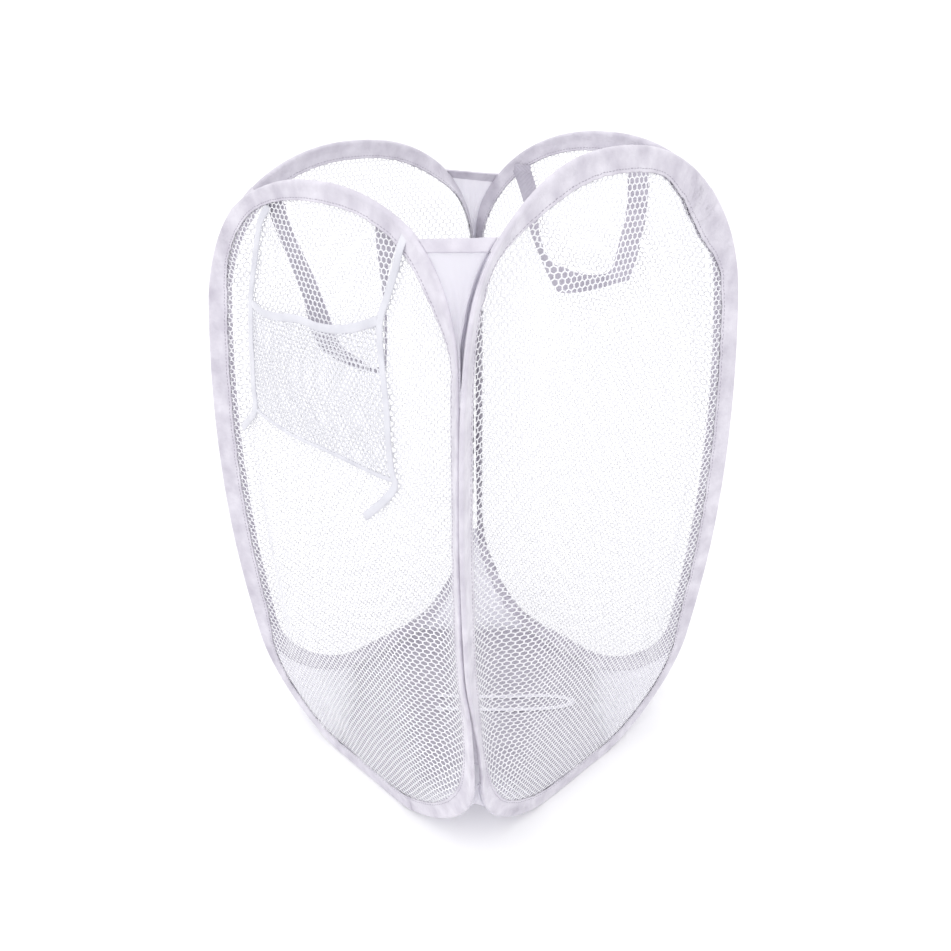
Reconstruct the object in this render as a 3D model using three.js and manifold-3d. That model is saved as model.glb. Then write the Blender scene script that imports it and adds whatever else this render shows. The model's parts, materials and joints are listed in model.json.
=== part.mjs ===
// A pop up laundry hamper: four panels of netting, each stretched in a hoop of flat spring steel
// inside a fabric sleeve, sewn to one another at the corners so that the hamper folds flat.
// Millimetres, +Z up. The origin is the centre of the footprint, on the floor.
// Front is -Y, the panel that carries the pocket, and right is +X.

import * as THREE from "three";
import { mergeVertices } from "three/addons/utils/BufferGeometryUtils.js";
import Module from "manifold-3d";

const wasm = await Module();
wasm.setup();

// Driving dimensions of the whole hamper
const side = 313; // between the planes of two opposite panels, at the floor
const height = 611; // floor to the top of the arches
const bulge = 23.5; // how much further out each panel stands where it bows the most
const bulgeHeight = 290; // where that is
const topBulge = 10; // how much further out than its foot the upright top of an arch stands
const uprightTop = 46; // length of that upright top
const archHeight = 134; // the rounded top of a hoop
const archRoundness = 2.27; // 2 is an ellipse, more is squarer
const footHeight = 107; // a hoop's rounded lower corner
const footWidth = 109;
const footRoundness = 1.8;

// Stock that the pieces are cut from
const cloth = 0.6; // one ply of the sleeve
const gussetCloth = 0.8;
const baseCloth = 1;
const netting = 1;
const webbing = 1.5;
const webbingWidth = 22;
const tape = 5; // width of the pocket's binding tape
const tapeThickness = 1.6;
const elastic = 1.2;
const elasticWidth = 6;
const clearance = 0.35; // between neighbouring pieces
const netClearance = 0.6; // between a sleeve's lips and the bowed net that they grip

// Sleeve, wire and ferrule
const sleeveWidth = 20;
const sleeveThickness = 5.8;
const wireTunnel = 6; // depth of the sleeve's part that holds the wire
const wireWidth = 2.6;
const wireThickness = 0.8;
const wireEndGap = 1.5;
const ferruleWall = 0.4;
const ferruleLength = 26;
const ferruleSeam = 1; // open seam of the rolled crimp

// Netting
const panelCell = 74; // from one gap of the net to the next, across
const panelCellRow = 64; // and from one row to the next
const netFacet = 60; // the longest side of a facet, so that the net can bow
const panelStrand = 4;
const pocketCell = 18;
const pocketCellRow = 15.6;
const pocketStrand = 3.2;
const netTuck = 9; // the net's edge, from the outer edge of the hoop
const netRim = 2; // uncut net beside a sleeve or a tape
const leastGapShare = 1 / 20; // a gap cut smaller than this by the rim is left closed
const overrun = 1; // how far a cut passes the faces it opens

// Gussets
const gussetHemBelowTop = 55; // from the top of the arches to the top gussets' hems
const topGussetLength = 90; // from the hem down to the tip
const hemHeight = 8;
const hemThickness = 1.8;

// Handles
const handleSpacing = 156; // between the sewn ends
const handleBottom = 112; // between the legs at the bottom
const handleDrop = 106; // from the hinge line to the lowest edge
const handleEndDrop = 12; // how far a sewn end hangs below the sleeve
const handleEndMargin = 5; // left bare above a sewn end
const handleAsides = [10, 15]; // to the right of the middle, on the front and on the back

// Pocket, on the outside of the front panel
const pocketWidth = 178;
const pocketMouthBelowTop = 119; // from the top of the arches to the mouth, on average
const pocketLength = 107; // from the mouth to the pocket's lower edge
const pocketDepth = 13; // how far it stands off the net
const mouthSag = 12;
const mouthSlope = 12; // how much higher its right end is
const tailDrop = 42; // how far the loose tails hang below it

// Closing loop, on the base
const loopLength = 124;
const loopWidth = 24;
const loopPoint = 16; // length of its pointed end

// How many facets each round stretch gets
const archSteps = 9;
const footSteps = 6;
const sideSteps = 8;
const mouthSteps = 8;

// Colours
const lilac = { color: 0xd9d5e2, roughness: 0.85, metalness: 0 };
const paleLilac = { color: 0xe6e3ec, roughness: 0.9, metalness: 0 };
const greyLilac = { color: 0xc9c5d2, roughness: 0.9, metalness: 0 };
const whiteNet = { color: 0xf4f4f6, roughness: 0.7, metalness: 0 };
const greyWebbing = { color: 0xc3c0cb, roughness: 0.8, metalness: 0 };
const springSteel = { color: 0x8f949b, roughness: 0.35, metalness: 1 };

const halfSleeve = sleeveThickness / 2;
const hoopHalf = side / 2 - halfSleeve - clearance;
const shoulder = height - archHeight; // where the arch starts
const topGussetHem = height - gussetHemBelowTop;
const topGussetTip = topGussetHem - topGussetLength;
const pocketMouth = height - pocketMouthBelowTop;
const pocketBottom = pocketMouth - pocketLength;

// How far the sprung hoops bow out at a height: a parabola up to the bulge, then a wave's half
function swell(z) {
  if (z < bulgeHeight) return bulge * (1 - (1 - z / bulgeHeight) ** 2);
  const share = Math.min((z - bulgeHeight) / (height - uprightTop - bulgeHeight), 1);
  return topBulge + (bulge - topBulge) * Math.cos((Math.PI / 2) * share) ** 2;
}

// Height of a hoop's outer edge above the point at distance across from its middle
function archTop(across) {
  const share = (across / (hoopHalf + swell(height))) ** archRoundness;
  return shoulder + archHeight * (1 - share) ** (1 / archRoundness);
}

// A quarter of a superellipse from its lowest point to its outermost one, as shares of its size
function quarter(steps, roundness) {
  const points = [];
  for (let i = 0; i <= steps; i += 1) {
    const angle = (Math.PI / 2) * (i / steps);
    points.push([Math.sin(angle) ** (2 / roundness), Math.cos(angle) ** (2 / roundness)]);
  }
  return points;
}

// The outer edge of a hoop, seen face on, as [across, up], anticlockwise from the bottom's middle
function hoopOutline() {
  const flat = hoopHalf - footWidth;
  const right = quarter(footSteps, footRoundness).map(([x, z]) => [
    flat + footWidth * x,
    footHeight * (1 - z),
  ]);
  for (let i = 1; i < sideSteps; i += 1) {
    right.push([hoopHalf, footHeight + ((shoulder - footHeight) * i) / sideSteps]);
  }
  const arch = quarter(archSteps, archRoundness).reverse();
  arch.forEach(([x, z]) => right.push([hoopHalf * x, shoulder + archHeight * z]));
  right.pop();
  const wide = right.map(([x, z]) => [x * (1 + swell(z) / hoopHalf), z]);
  const left = wide.map(([x, z]) => [-x, z]).reverse();
  return [[0, 0], ...wide, [0, height], ...left];
}

// For each point of a line, the direction to its left, long enough to keep a moved copy parallel
function mitres(points, closed) {
  const count = points.length;
  const sideOf = ([ax, az], [bx, bz]) => {
    const length = Math.hypot(bx - ax, bz - az);
    return [-(bz - az) / length, (bx - ax) / length];
  };
  return points.map((point, i) => {
    const before = closed || i > 0 ? sideOf(points[(i + count - 1) % count], point) : null;
    const after = closed || i < count - 1 ? sideOf(point, points[(i + 1) % count]) : null;
    const a = before ?? after;
    const b = after ?? before;
    const scale = 1 + a[0] * b[0] + a[1] * b[1];
    return [(a[0] + b[0]) / scale, (a[1] + b[1]) / scale];
  });
}

function moved(points, distance, closed = true) {
  const normals = mitres(points, closed);
  return points.map(([x, z], i) => [x + normals[i][0] * distance, z + normals[i][1] * distance]);
}

// A closed solid through rings of points; its ends are covered unless the rings close on themselves
function loft(rings, endShape) {
  const size = rings[0].length;
  const count = rings.length;
  const faces = [];
  const spans = endShape ? count - 1 : count;
  for (let i = 0; i < spans; i += 1) {
    for (let j = 0; j < size; j += 1) {
      const a = i * size + j;
      const b = i * size + ((j + 1) % size);
      const c = ((i + 1) % count) * size + j;
      const d = ((i + 1) % count) * size + ((j + 1) % size);
      faces.push([a, b, d], [a, d, c]);
    }
  }
  if (endShape) {
    const flat = endShape.map(([x, y]) => new THREE.Vector2(x, y));
    THREE.ShapeUtils.triangulateShape(flat, []).forEach(([a, b, c]) => {
      const last = (count - 1) * size;
      faces.push([c, b, a], [last + a, last + b, last + c]);
    });
  }
  return closedSolid(rings.flat(), faces);
}

// Points and triangles as a geometry whose faces all point out
function closedSolid(points, faces) {
  let volume = 0;
  const vectors = points.map((p) => new THREE.Vector3(...p));
  faces.forEach(([a, b, c]) => {
    volume += vectors[a].dot(vectors[b].clone().cross(vectors[c]));
  });
  const turned = volume < 0 ? faces.map(([a, b, c]) => [a, c, b]) : faces;
  const geometry = new THREE.BufferGeometry();
  geometry.setAttribute("position", new THREE.Float32BufferAttribute(points.flat(), 3));
  geometry.setIndex(turned.flat());
  geometry.computeVertexNormals();
  return geometry;
}

// A section of [inward, through] points carried along a hoop's edge
function alongHoop(path, section, closed) {
  const normals = mitres(path, closed);
  const rings = path.map(([x, z], i) =>
    section.map(([inward, through]) => [
      x + normals[i][0] * inward,
      through,
      z + normals[i][1] * inward,
    ]),
  );
  return loft(rings, closed ? null : section);
}

// A flat outline of [across, up] points between two distances through the panel, y0 below y1
function plate(outline, y0, y1, gaps = []) {
  const shape = new THREE.Shape(outline.map(([x, z]) => new THREE.Vector2(x, z)));
  gaps.forEach((gap) => {
    shape.holes.push(new THREE.Path(gap.map(([x, z]) => new THREE.Vector2(x, z))));
  });
  const geometry = new THREE.ExtrudeGeometry(shape, { depth: y1 - y0, bevelEnabled: false });
  geometry.rotateX(Math.PI / 2);
  geometry.translate(0, y1, 0);
  return geometry;
}

// The outline of a tape of one width along an open line
function tapeOutline(line, width) {
  return [...moved(line, -width / 2, false), ...moved(line, width / 2, false).reverse()];
}

function solidOf(geometry) {
  const bare = geometry.clone();
  bare.deleteAttribute("normal");
  bare.deleteAttribute("uv");
  const merged = mergeVertices(bare);
  const mesh = new wasm.Mesh({
    numProp: 3,
    vertProperties: new Float32Array(merged.attributes.position.array),
    triVerts: new Uint32Array(merged.index.array),
  });
  return new wasm.Manifold(mesh);
}

function geometryOf(solid) {
  const mesh = solid.getMesh();
  const geometry = new THREE.BufferGeometry();
  geometry.setAttribute("position", new THREE.BufferAttribute(mesh.vertProperties, 3));
  geometry.setIndex(new THREE.BufferAttribute(mesh.triVerts, 1));
  geometry.computeVertexNormals();
  return geometry;
}

// A flat net inside an outline: six sided gaps in offset rows, cut off along the rim
function netSolid(outline, rim, y0, y1, cell, row, strand) {
  const border = solidOf(plate(rim, y0 - overrun, y1 + overrun));
  const box = new THREE.Box2().setFromPoints(rim.map(([x, z]) => new THREE.Vector2(x, z)));
  const middle = box.getCenter(new THREE.Vector2());
  const size = box.getSize(new THREE.Vector2());
  const columns = Math.ceil(size.x / cell / 2);
  const rows = Math.ceil(size.y / row / 2);
  const wide = (cell - strand) / 2;
  const tall = (row * 2) / 3 - strand / Math.sqrt(3);
  const shares = [[0, -1], [1, -1 / 2], [1, 1 / 2], [0, 1], [-1, 1 / 2], [-1, -1 / 2]];
  const least = cell * row * (y1 - y0 + 2 * overrun) * leastGapShare;
  let net = solidOf(plate(outline, y0, y1));
  for (let r = -rows; r <= rows; r += 1) {
    for (let c = -columns; c <= columns; c += 1) {
      const x = middle.x + cell * (c + (r % 2 ? 1 / 2 : 0));
      const z = middle.y + row * r;
      const gap = shares.map(([sx, sz]) => [x + wide * sx, z + tall * sz]);
      const cut = solidOf(plate(gap, y0 - overrun, y1 + overrun)).intersect(border);
      if (cut.volume() > least) net = net.subtract(cut);
    }
  }
  return net;
}

// A panel's piece, moved out of the panel's plane by as much as its curve gives for each height
function bowed(geometry, curve) {
  const bent = geometry.clone();
  const points = bent.attributes.position;
  for (let i = 0; i < points.count; i += 1) {
    points.setY(i, points.getY(i) - curve(points.getZ(i)));
  }
  bent.computeVertexNormals();
  return bent;
}

function named(name, geometry, finish) {
  const mesh = new THREE.Mesh(geometry, new THREE.MeshStandardMaterial(finish));
  mesh.name = name;
  return mesh;
}

// Fabric sleeve: a strip folded over the wire, open towards the net whose edge it grips
function bindingGeometry(outline) {
  const lip = netting / 2 + netClearance;
  const inside = halfSleeve - cloth;
  return alongHoop(
    outline,
    [
      [sleeveWidth, lip + cloth],
      [wireTunnel, halfSleeve],
      [0, halfSleeve],
      [0, -halfSleeve],
      [wireTunnel, -halfSleeve],
      [sleeveWidth, -lip - cloth],
      [sleeveWidth, -lip],
      [wireTunnel, -inside],
      [cloth, -inside],
      [cloth, inside],
      [wireTunnel, inside],
      [sleeveWidth, lip],
    ],
    true,
  );
}

const wireInset = cloth + clearance + ferruleWall + clearance;

// Spring steel strip, bent round to a hoop whose ends nearly meet at the bottom's middle
function wireGeometry(outline) {
  const path = [[wireEndGap / 2, 0], ...outline.slice(1), [-wireEndGap / 2, 0]];
  const half = wireWidth / 2;
  const section = [
    [wireInset, half],
    [wireInset, -half],
    [wireInset + wireThickness, -half],
    [wireInset + wireThickness, half],
  ];
  return alongHoop(path, section, false);
}

// Rolled crimp round the two ends of the wire, with its seam on the inner side
function ferruleGeometry() {
  const path = [[-ferruleLength / 2, 0], [ferruleLength / 2, 0]];
  const low = wireInset - clearance - ferruleWall;
  const high = wireInset + wireThickness + clearance + ferruleWall;
  const half = wireWidth / 2 + clearance + ferruleWall;
  const seam = ferruleSeam / 2;
  const inner = half - ferruleWall;
  const section = [
    [high, seam],
    [high, half],
    [low, half],
    [low, -half],
    [high, -half],
    [high, -seam],
    [high - ferruleWall, -seam],
    [high - ferruleWall, -inner],
    [low + ferruleWall, -inner],
    [low + ferruleWall, inner],
    [high - ferruleWall, inner],
    [high - ferruleWall, seam],
  ];
  return alongHoop(path, section, false);
}

function panelNetGeometry(outline) {
  const rim = moved(outline, sleeveWidth + netRim);
  const edge = moved(outline, netTuck);
  const half = netting / 2;
  const net = netSolid(edge, rim, -half, half, panelCell, panelCellRow, panelStrand);
  return geometryOf(net.refineToLength(netFacet));
}

// The right half of a hoop's outer edge, moved out by a distance, from its foot up
function rightEdge(outline, distance) {
  return moved(outline, -distance).slice(1, Math.ceil(outline.length / 2));
}

// How far across such an edge stands at a height, and its direction there
function edgeAt(edge, z) {
  const i = edge.findIndex((point) => point[1] > z);
  const [a, b] = [edge[i - 1], edge[i]];
  const length = Math.hypot(b[0] - a[0], b[1] - a[1]);
  return {
    across: a[0] + ((b[0] - a[0]) * (z - a[1])) / (b[1] - a[1]),
    along: (b[0] - a[0]) / length,
    up: (b[1] - a[1]) / length,
  };
}

// A sheet across the corner beyond a panel's right end, from hoop to hoop, between two heights
function cornerSheet(outline, low, high, thickness) {
  const edge = rightEdge(outline, clearance + thickness / 2);
  const between = edge.map((point) => point[1]).filter((z) => z > low && z < high);
  const corner = side / 2;
  const rings = [low, ...between, high].map((z) => {
    const { across, along, up } = edgeAt(edge, z);
    const out = new THREE.Vector3(up, -up, -along).normalize().multiplyScalar(thickness / 2);
    const ends = [[across, -swell(z), z], [corner + swell(z), corner - across, z]];
    const ring = ends.map(([px, py, pz]) => [px + out.x, py + out.y, pz + out.z]);
    const back = ends.map(([px, py, pz]) => [px - out.x, py - out.y, pz - out.z]);
    return [...ring, ...back.reverse()];
  });
  return loft(rings, [[0, 0], [1, 0], [1, 1], [0, 1]]);
}

const gussetFoot = baseCloth + clearance + gussetCloth / 2;

// Base cloth: a square with its corners cut off along the bottom gussets
function baseGeometry(outline) {
  const edge = side / 2 - halfSleeve - clearance;
  const seam = edgeAt(rightEdge(outline, clearance + gussetCloth / 2), gussetFoot);
  const cut = seam.across + halfSleeve + clearance;
  const corners = [];
  [[1, -1], [1, 1], [-1, 1], [-1, -1]].forEach(([sx, sy]) => {
    const pair = [[sx * cut, sy * edge], [sx * edge, sy * cut]];
    corners.push(...(sx * sy < 0 ? pair : pair.reverse()));
  });
  const geometry = plate(corners, 0, baseCloth);
  geometry.rotateX(-Math.PI / 2);
  geometry.translate(0, 0, baseCloth);
  return geometry;
}

// Closing loop: narrow elastic, sewn down at the base's middle, its point towards a corner
function closingLoopGeometry() {
  const half = loopWidth / 2;
  const neck = loopLength - loopPoint;
  const line = [[0, -half], [neck, -half], [loopLength, 0], [neck, half], [0, half]];
  const outer = moved(line, -elasticWidth / 2);
  const inner = moved(line, elasticWidth / 2);
  const geometry = plate(outer, 0, elastic, [inner]);
  geometry.rotateX(-Math.PI / 2);
  geometry.rotateZ(Math.PI / 4);
  geometry.translate(0, 0, baseCloth + clearance + elastic);
  return geometry;
}

const handleFace = halfSleeve + clearance; // the webbing's face towards the net
const handleHinge = archTop(handleSpacing / 2) - sleeveWidth - handleEndDrop;
const hingeGap = clearance / 2; // each side of the hinge line

function handleEndGeometry(middle) {
  const half = webbingWidth / 2;
  const top = archTop(Math.abs(middle) + half) - handleEndMargin;
  const foot = handleHinge + hingeGap;
  const outline = [
    [middle - half, foot],
    [middle + half, foot],
    [middle + half, top],
    [middle - half, top],
  ];
  return plate(outline, handleFace, handleFace + webbing);
}

// The hanging part of a handle: two legs and a bottom with folded corners
function handleGeometry() {
  const top = handleHinge - hingeGap;
  const low = handleHinge - handleDrop;
  const wide = (handleSpacing + webbingWidth) / 2;
  const narrow = (handleBottom + webbingWidth) / 2;
  const fold = webbingWidth / 3;
  const leg = handleBottom / 2 - webbingWidth / 2;
  const legTop = (handleSpacing - webbingWidth) / 2;
  const right = [
    [narrow - fold, low],
    [narrow, low + fold],
    [wide, top],
    [legTop, top],
    [leg, low + webbingWidth + fold / 2],
    [leg - fold / 2, low + webbingWidth],
  ];
  const left = right.map(([x, z]) => [-x, z]).reverse();
  return plate([...right, ...left], handleFace, handleFace + webbing);
}

// Height of the pocket's sagging mouth at a place across from its middle
function mouthHeight(across) {
  const t = across / pocketWidth + 1 / 2;
  return pocketMouth + mouthSlope * (t - 1 / 2) - mouthSag * 4 * t * (1 - t);
}

// The mouth as a line, drawn in from both ends and lowered by the same distance
function mouthLine(inset) {
  const points = [];
  for (let i = 0; i <= mouthSteps; i += 1) {
    const across = (pocketWidth - 2 * inset) * (i / mouthSteps - 1 / 2);
    points.push([across, mouthHeight(across) - inset]);
  }
  return points;
}

// One side of the pocket: from the sleeve down the side of the pocket to the loose tail
function pocketSideLine(topShare, sleeveDepth, tailShares) {
  const half = pocketWidth / 2;
  const sign = Math.sign(topShare);
  const top = [half * topShare, archTop(Math.abs(half * topShare)) - sleeveDepth];
  const foot = [sign * half, pocketBottom];
  const line = [top, [sign * half, pocketMouth + (mouthSlope / 2) * sign], foot];
  tailShares.forEach(([x, z]) => line.push([half * x, pocketBottom - tailDrop * z]));
  return line;
}

const pocketInner = pocketDepth - netting / 2 - clearance; // the side tapes' outer face

// The pocket hangs straight, from the top of the arch to its foot
function pocketLean(z) {
  const share = (height - z) / (height - pocketBottom);
  return swell(height) + (swell(pocketBottom) - swell(height)) * share;
}

function pocketNetGeometry() {
  const half = pocketWidth / 2;
  const foot = pocketBottom - tape / 2;
  const outline = [[-half, foot], [half, foot], ...mouthLine(0).reverse()];
  const rimHalf = half - netRim;
  const rimFoot = pocketBottom + netRim;
  const rim = [[-rimHalf, rimFoot], [rimHalf, rimFoot], ...mouthLine(netRim).reverse()];
  const y0 = -pocketDepth - netting / 2;
  const y1 = y0 + netting;
  return geometryOf(netSolid(outline, rim, y0, y1, pocketCell, pocketCellRow, pocketStrand));
}

function pocketMouthGeometry() {
  const line = moved(mouthLine(0), clearance + tape / 2, false);
  const back = -pocketDepth + netting / 2;
  return plate(tapeOutline(line, tape), back - tapeThickness, back);
}

function pocketSideGeometry(line) {
  return plate(tapeOutline(line, tape), -pocketInner, -halfSleeve - clearance);
}

function pocketBottomGeometry() {
  const reach = pocketWidth / 2 - tape / 2 - clearance;
  const line = [[-reach, pocketBottom], [reach, pocketBottom]];
  return plate(tapeOutline(line, tape), -pocketInner, -netting / 2 - clearance);
}

const hamper = new THREE.Group();
hamper.name = "hamper";
const outline = hoopOutline();

// A group whose local X runs along a panel, to its right, and whose local Y points into the hamper
function panelFrame(quarterTurns) {
  const frame = new THREE.Group();
  const angle = (Math.PI / 2) * quarterTurns;
  frame.rotation.z = angle;
  frame.position.set((Math.sin(angle) * side) / 2, (-Math.cos(angle) * side) / 2, 0);
  hamper.add(frame);
  return frame;
}

const panels = ["front", "right", "back", "left"];
const cornersAfter = ["front_right", "back_right", "back_left", "front_left"];
const frames = panels.map((name, i) => panelFrame(i));

const panelBinding = bowed(bindingGeometry(outline), swell);
const panelNet = bowed(panelNetGeometry(outline), swell);
const hoopWire = bowed(wireGeometry(outline), swell);
const wireFerrule = bowed(ferruleGeometry(), swell);
panels.forEach((name, i) => {
  frames[i].add(named(`${name}_binding`, panelBinding, lilac));
  frames[i].add(named(`${name}_net`, panelNet, whiteNet));
  frames[i].add(named(`${name}_hoop_wire`, hoopWire, springSteel));
  frames[i].add(named(`${name}_wire_ferrule`, wireFerrule, springSteel));
});

const hemFoot = topGussetHem + clearance;
cornersAfter.forEach((name, i) => {
  const top = cornerSheet(outline, topGussetTip, topGussetHem, gussetCloth);
  const hem = cornerSheet(outline, hemFoot, hemFoot + hemHeight, hemThickness);
  const bottom = cornerSheet(outline, gussetFoot, footHeight, gussetCloth);
  frames[i].add(named(`${name}_top_gusset`, top, paleLilac));
  frames[i].add(named(`${name}_gusset_hem`, hem, lilac));
  frames[i].add(named(`${name}_bottom_gusset`, bottom, paleLilac));
});

hamper.add(named("base_panel", baseGeometry(outline), greyLilac));
hamper.add(named("closing_loop", closingLoopGeometry(), paleLilac));

// The handles hang beside the upright top of their arches, a little off its middle
["front", "back"].forEach((name, i) => {
  const aside = handleAsides[i];
  const pieces = [
    named(`${name}_handle`, handleGeometry().translate(aside, 0, 0), greyWebbing),
    named(`${name}_handle_left_end`, handleEndGeometry(aside - handleSpacing / 2), greyWebbing),
    named(`${name}_handle_right_end`, handleEndGeometry(aside + handleSpacing / 2), greyWebbing),
  ];
  pieces.forEach((piece) => piece.geometry.translate(0, -swell(height), 0));
  frames[panels.indexOf(name)].add(...pieces);
});

// The side tapes start on the sleeve, closer together than the pocket is wide on the left
const leftTopShare = -0.7;
const rightTopShare = 1.24;
const leftTailShares = [[-1.36, 0.75]];
const rightTailShares = [[1.06, 0.25], [0.66, 1]];
const onSleeve = sleeveWidth / 2;
const leftLine = pocketSideLine(leftTopShare, onSleeve, leftTailShares);
const rightLine = pocketSideLine(rightTopShare, onSleeve, rightTailShares);
const front = frames[panels.indexOf("front")];
const hung = (geometry) => bowed(geometry, pocketLean);
front.add(named("pocket_net", hung(pocketNetGeometry()), whiteNet));
front.add(named("pocket_mouth_binding", hung(pocketMouthGeometry()), lilac));
front.add(named("pocket_left_binding", hung(pocketSideGeometry(leftLine)), lilac));
front.add(named("pocket_right_binding", hung(pocketSideGeometry(rightLine)), lilac));
front.add(named("pocket_bottom_binding", hung(pocketBottomGeometry()), lilac));

export default hamper;
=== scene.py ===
"""A pop up laundry hamper of white netting and lilac cloth, dressed on its frame.

Metres, in the hamper's own frame: +Z up, the origin on the floor under its middle, the pocket's
panel at -Y. A panel's own coordinates are across (to its right, seen from outside), out (away from
the hamper, from the plane of its hoop) and up.
"""

import json
import math

import bpy
import numpy as np
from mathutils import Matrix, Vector


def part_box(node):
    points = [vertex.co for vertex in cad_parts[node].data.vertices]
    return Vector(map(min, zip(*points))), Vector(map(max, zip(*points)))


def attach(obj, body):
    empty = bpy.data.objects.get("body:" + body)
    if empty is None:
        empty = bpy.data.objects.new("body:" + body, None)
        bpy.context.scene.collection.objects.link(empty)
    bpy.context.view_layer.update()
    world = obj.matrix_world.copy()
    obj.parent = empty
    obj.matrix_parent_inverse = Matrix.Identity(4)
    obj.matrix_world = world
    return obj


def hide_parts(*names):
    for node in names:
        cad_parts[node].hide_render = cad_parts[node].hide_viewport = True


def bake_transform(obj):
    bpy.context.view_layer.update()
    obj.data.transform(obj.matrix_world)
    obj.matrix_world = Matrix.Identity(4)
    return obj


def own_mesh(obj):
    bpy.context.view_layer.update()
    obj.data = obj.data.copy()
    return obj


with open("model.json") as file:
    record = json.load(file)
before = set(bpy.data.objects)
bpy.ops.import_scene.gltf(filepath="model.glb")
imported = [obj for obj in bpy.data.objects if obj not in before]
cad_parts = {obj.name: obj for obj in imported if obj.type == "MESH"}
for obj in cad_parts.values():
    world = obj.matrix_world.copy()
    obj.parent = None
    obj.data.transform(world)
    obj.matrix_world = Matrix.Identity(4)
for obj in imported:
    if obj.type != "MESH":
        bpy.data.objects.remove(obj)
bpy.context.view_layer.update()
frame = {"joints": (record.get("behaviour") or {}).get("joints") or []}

MM = 0.001

# The bowed hoop, from the frame's front sleeve
sleeve_high = np.array(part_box("front_binding")[1])
SLEEVE_HALF = 2.9 * MM
FOOT = SLEEVE_HALF - sleeve_high[1]  # from the hamper's middle to a panel's plane at the floor
HEIGHT = sleeve_high[2]
TOP_BULGE = 10 * MM  # how much further out than its foot the upright top of a handle's arch stands
HOOP = FOOT - 3.25 * MM  # from a panel's middle to the outer edge of its hoop, before it bows
ARCH_HEIGHT = 134 * MM
ARCH_ROUNDNESS = 2.27
FOOT_HEIGHT = 107 * MM
FOOT_WIDTH = 109 * MM
FOOT_ROUNDNESS = 1.8
QUARTER_POINTS = 400  # points on each rounded stretch before they are spread evenly
EDGE_POINTS = 3000
CURVE_STEPS = 24  # points from one given place of a curve to the next

# How the sprung hoops stand: each arch droops by its own amount, and the two that carry the handles
# stay upright at the top and lean aside by as much as that brings them out
BULGE = 23.4 * MM
DROOP = {"front": 18 * MM, "right": 1.5 * MM, "back": 0.8 * MM, "left": 8.5 * MM}
CROWN = {"front": 4.5 * MM, "right": -1.5 * MM, "back": 1 * MM, "left": 1 * MM}  # more of it at the top
CROWN_FROM = 570 * MM
LEAN = {"front": 1, "right": 0, "back": -1, "left": 0}
UPRIGHT_FROM = 490 * MM
UPRIGHT_TO = 560 * MM
SLIT = 3 * MM  # how far a hoop draws back from its corners at the floor
SLIT_TOP = 250 * MM
SLIT_FOOT = 90 * MM
SLIT_POWER = 9  # it keeps close to the corners
# Below its arch each sleeve turns in: how steeply at a panel's left and right ends
TURNS = {"front": (0.45, 0.6), "right": (0.75, 0.3), "back": (0.2, 0.6), "left": (1.05, 0.2)}
TURN_FROM = 60 * MM
TURN_TO = {"front": 545 * MM, "right": 600 * MM, "back": 545 * MM, "left": 600 * MM}
TURN_RISE = 90 * MM
TURN_FALL = 60 * MM
TURN_REACH = 35 * MM  # how far into the net the turn dies away
TURN_SHARES = (0.35, 0.75)  # of the way from a panel's middle to its edge: where the turn grows

# Cloth, netting, wire and thread
PLY = 0.45 * MM
SLEEVE_WIDTH = 18 * MM
BEAD = 2.6 * MM  # radius of the sleeve round the wire
LIP = 0.95 * MM  # half the sleeve's thickness at the seam
SEAM_INSET = 2.6 * MM
NET_THICKNESS = 0.5 * MM
NET_TUCK = 11 * MM
PANEL_CELL = 5.5 * MM
PANEL_ROW = 4.3 * MM
PANEL_STRAND = 0.87 * MM  # broader than real yarn, so that it holds together as a mesh
POCKET_CELL = 4.6 * MM
POCKET_ROW = 3.6 * MM
POCKET_STRAND = 0.95 * MM  # broader too
STITCH_PITCH = 3.8 * MM
STITCH_LENGTH = 2.7 * MM
THREAD = 0.3 * MM

PANELS = ["front", "right", "back", "left"]
CORNERS = {
    "front_right": ("front", "right"),
    "back_right": ("right", "back"),
    "back_left": ("back", "left"),
    "front_left": ("left", "front"),
}
FLATTENS = {
    "front": ("fold", (0, 1, 0), (0, -FOOT - TOP_BULGE, 0)),
    "right": ("fold_right", (1, 0, 0), (FOOT, 0, 0)),
    "back": ("fold_back", (0, 1, 0), (0, FOOT + TOP_BULGE, 0)),
    "left": ("fold", (1, 0, 0), (-FOOT, 0, 0)),
}
SHARP_ANGLE = math.radians(60)  # edges sharper than this stay crisp


def smooth(t):
    """0 below 0, 1 above 1, and 3t^2 - 2t^3 between."""
    t = np.clip(t, 0, 1)
    return t * t * (3 - 2 * t)


def waves(seed, x, shortest, longest, count=9):
    """A sum of count sines of x whose lengths are spread from shortest to longest, within -1..1."""
    random = np.random.default_rng(seed)
    lengths = np.geomspace(shortest, longest, count)
    phases = random.uniform(0, 2 * np.pi, count)
    weights = random.uniform(0.5, 1, count)
    x = np.asarray(x, float)[..., None]
    return (np.sin(2 * np.pi * x / lengths + phases) * weights).sum(-1) / weights.sum()


def curve_through(points, count):
    """count points, evenly spaced, on the smooth curve through a few points (Catmull-Rom)."""
    p = np.asarray(points, float)
    p = np.concatenate([[2 * p[0] - p[1]], p, [2 * p[-1] - p[-2]]])
    t = np.linspace(0, 1, CURVE_STEPS, endpoint=False)[:, None]
    runs = []
    for a, b, c, d in zip(p, p[1:], p[2:], p[3:]):
        part = 2 * b + (c - a) * t + (2 * a - 5 * b + 4 * c - d) * t**2
        runs.append((part + (3 * b - a - 3 * c + d) * t**3) / 2)
    line = np.concatenate([*runs, p[-2:-1]])
    return evenly(line, count)


def evenly(line, count):
    """count points at even distances along a line of points."""
    run = np.append(0, np.cumsum(np.linalg.norm(np.diff(line, axis=0), axis=1)))
    at = np.linspace(0, run[-1], count)
    return np.stack([np.interp(at, run, line[:, i]) for i in range(line.shape[1])], -1)


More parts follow.
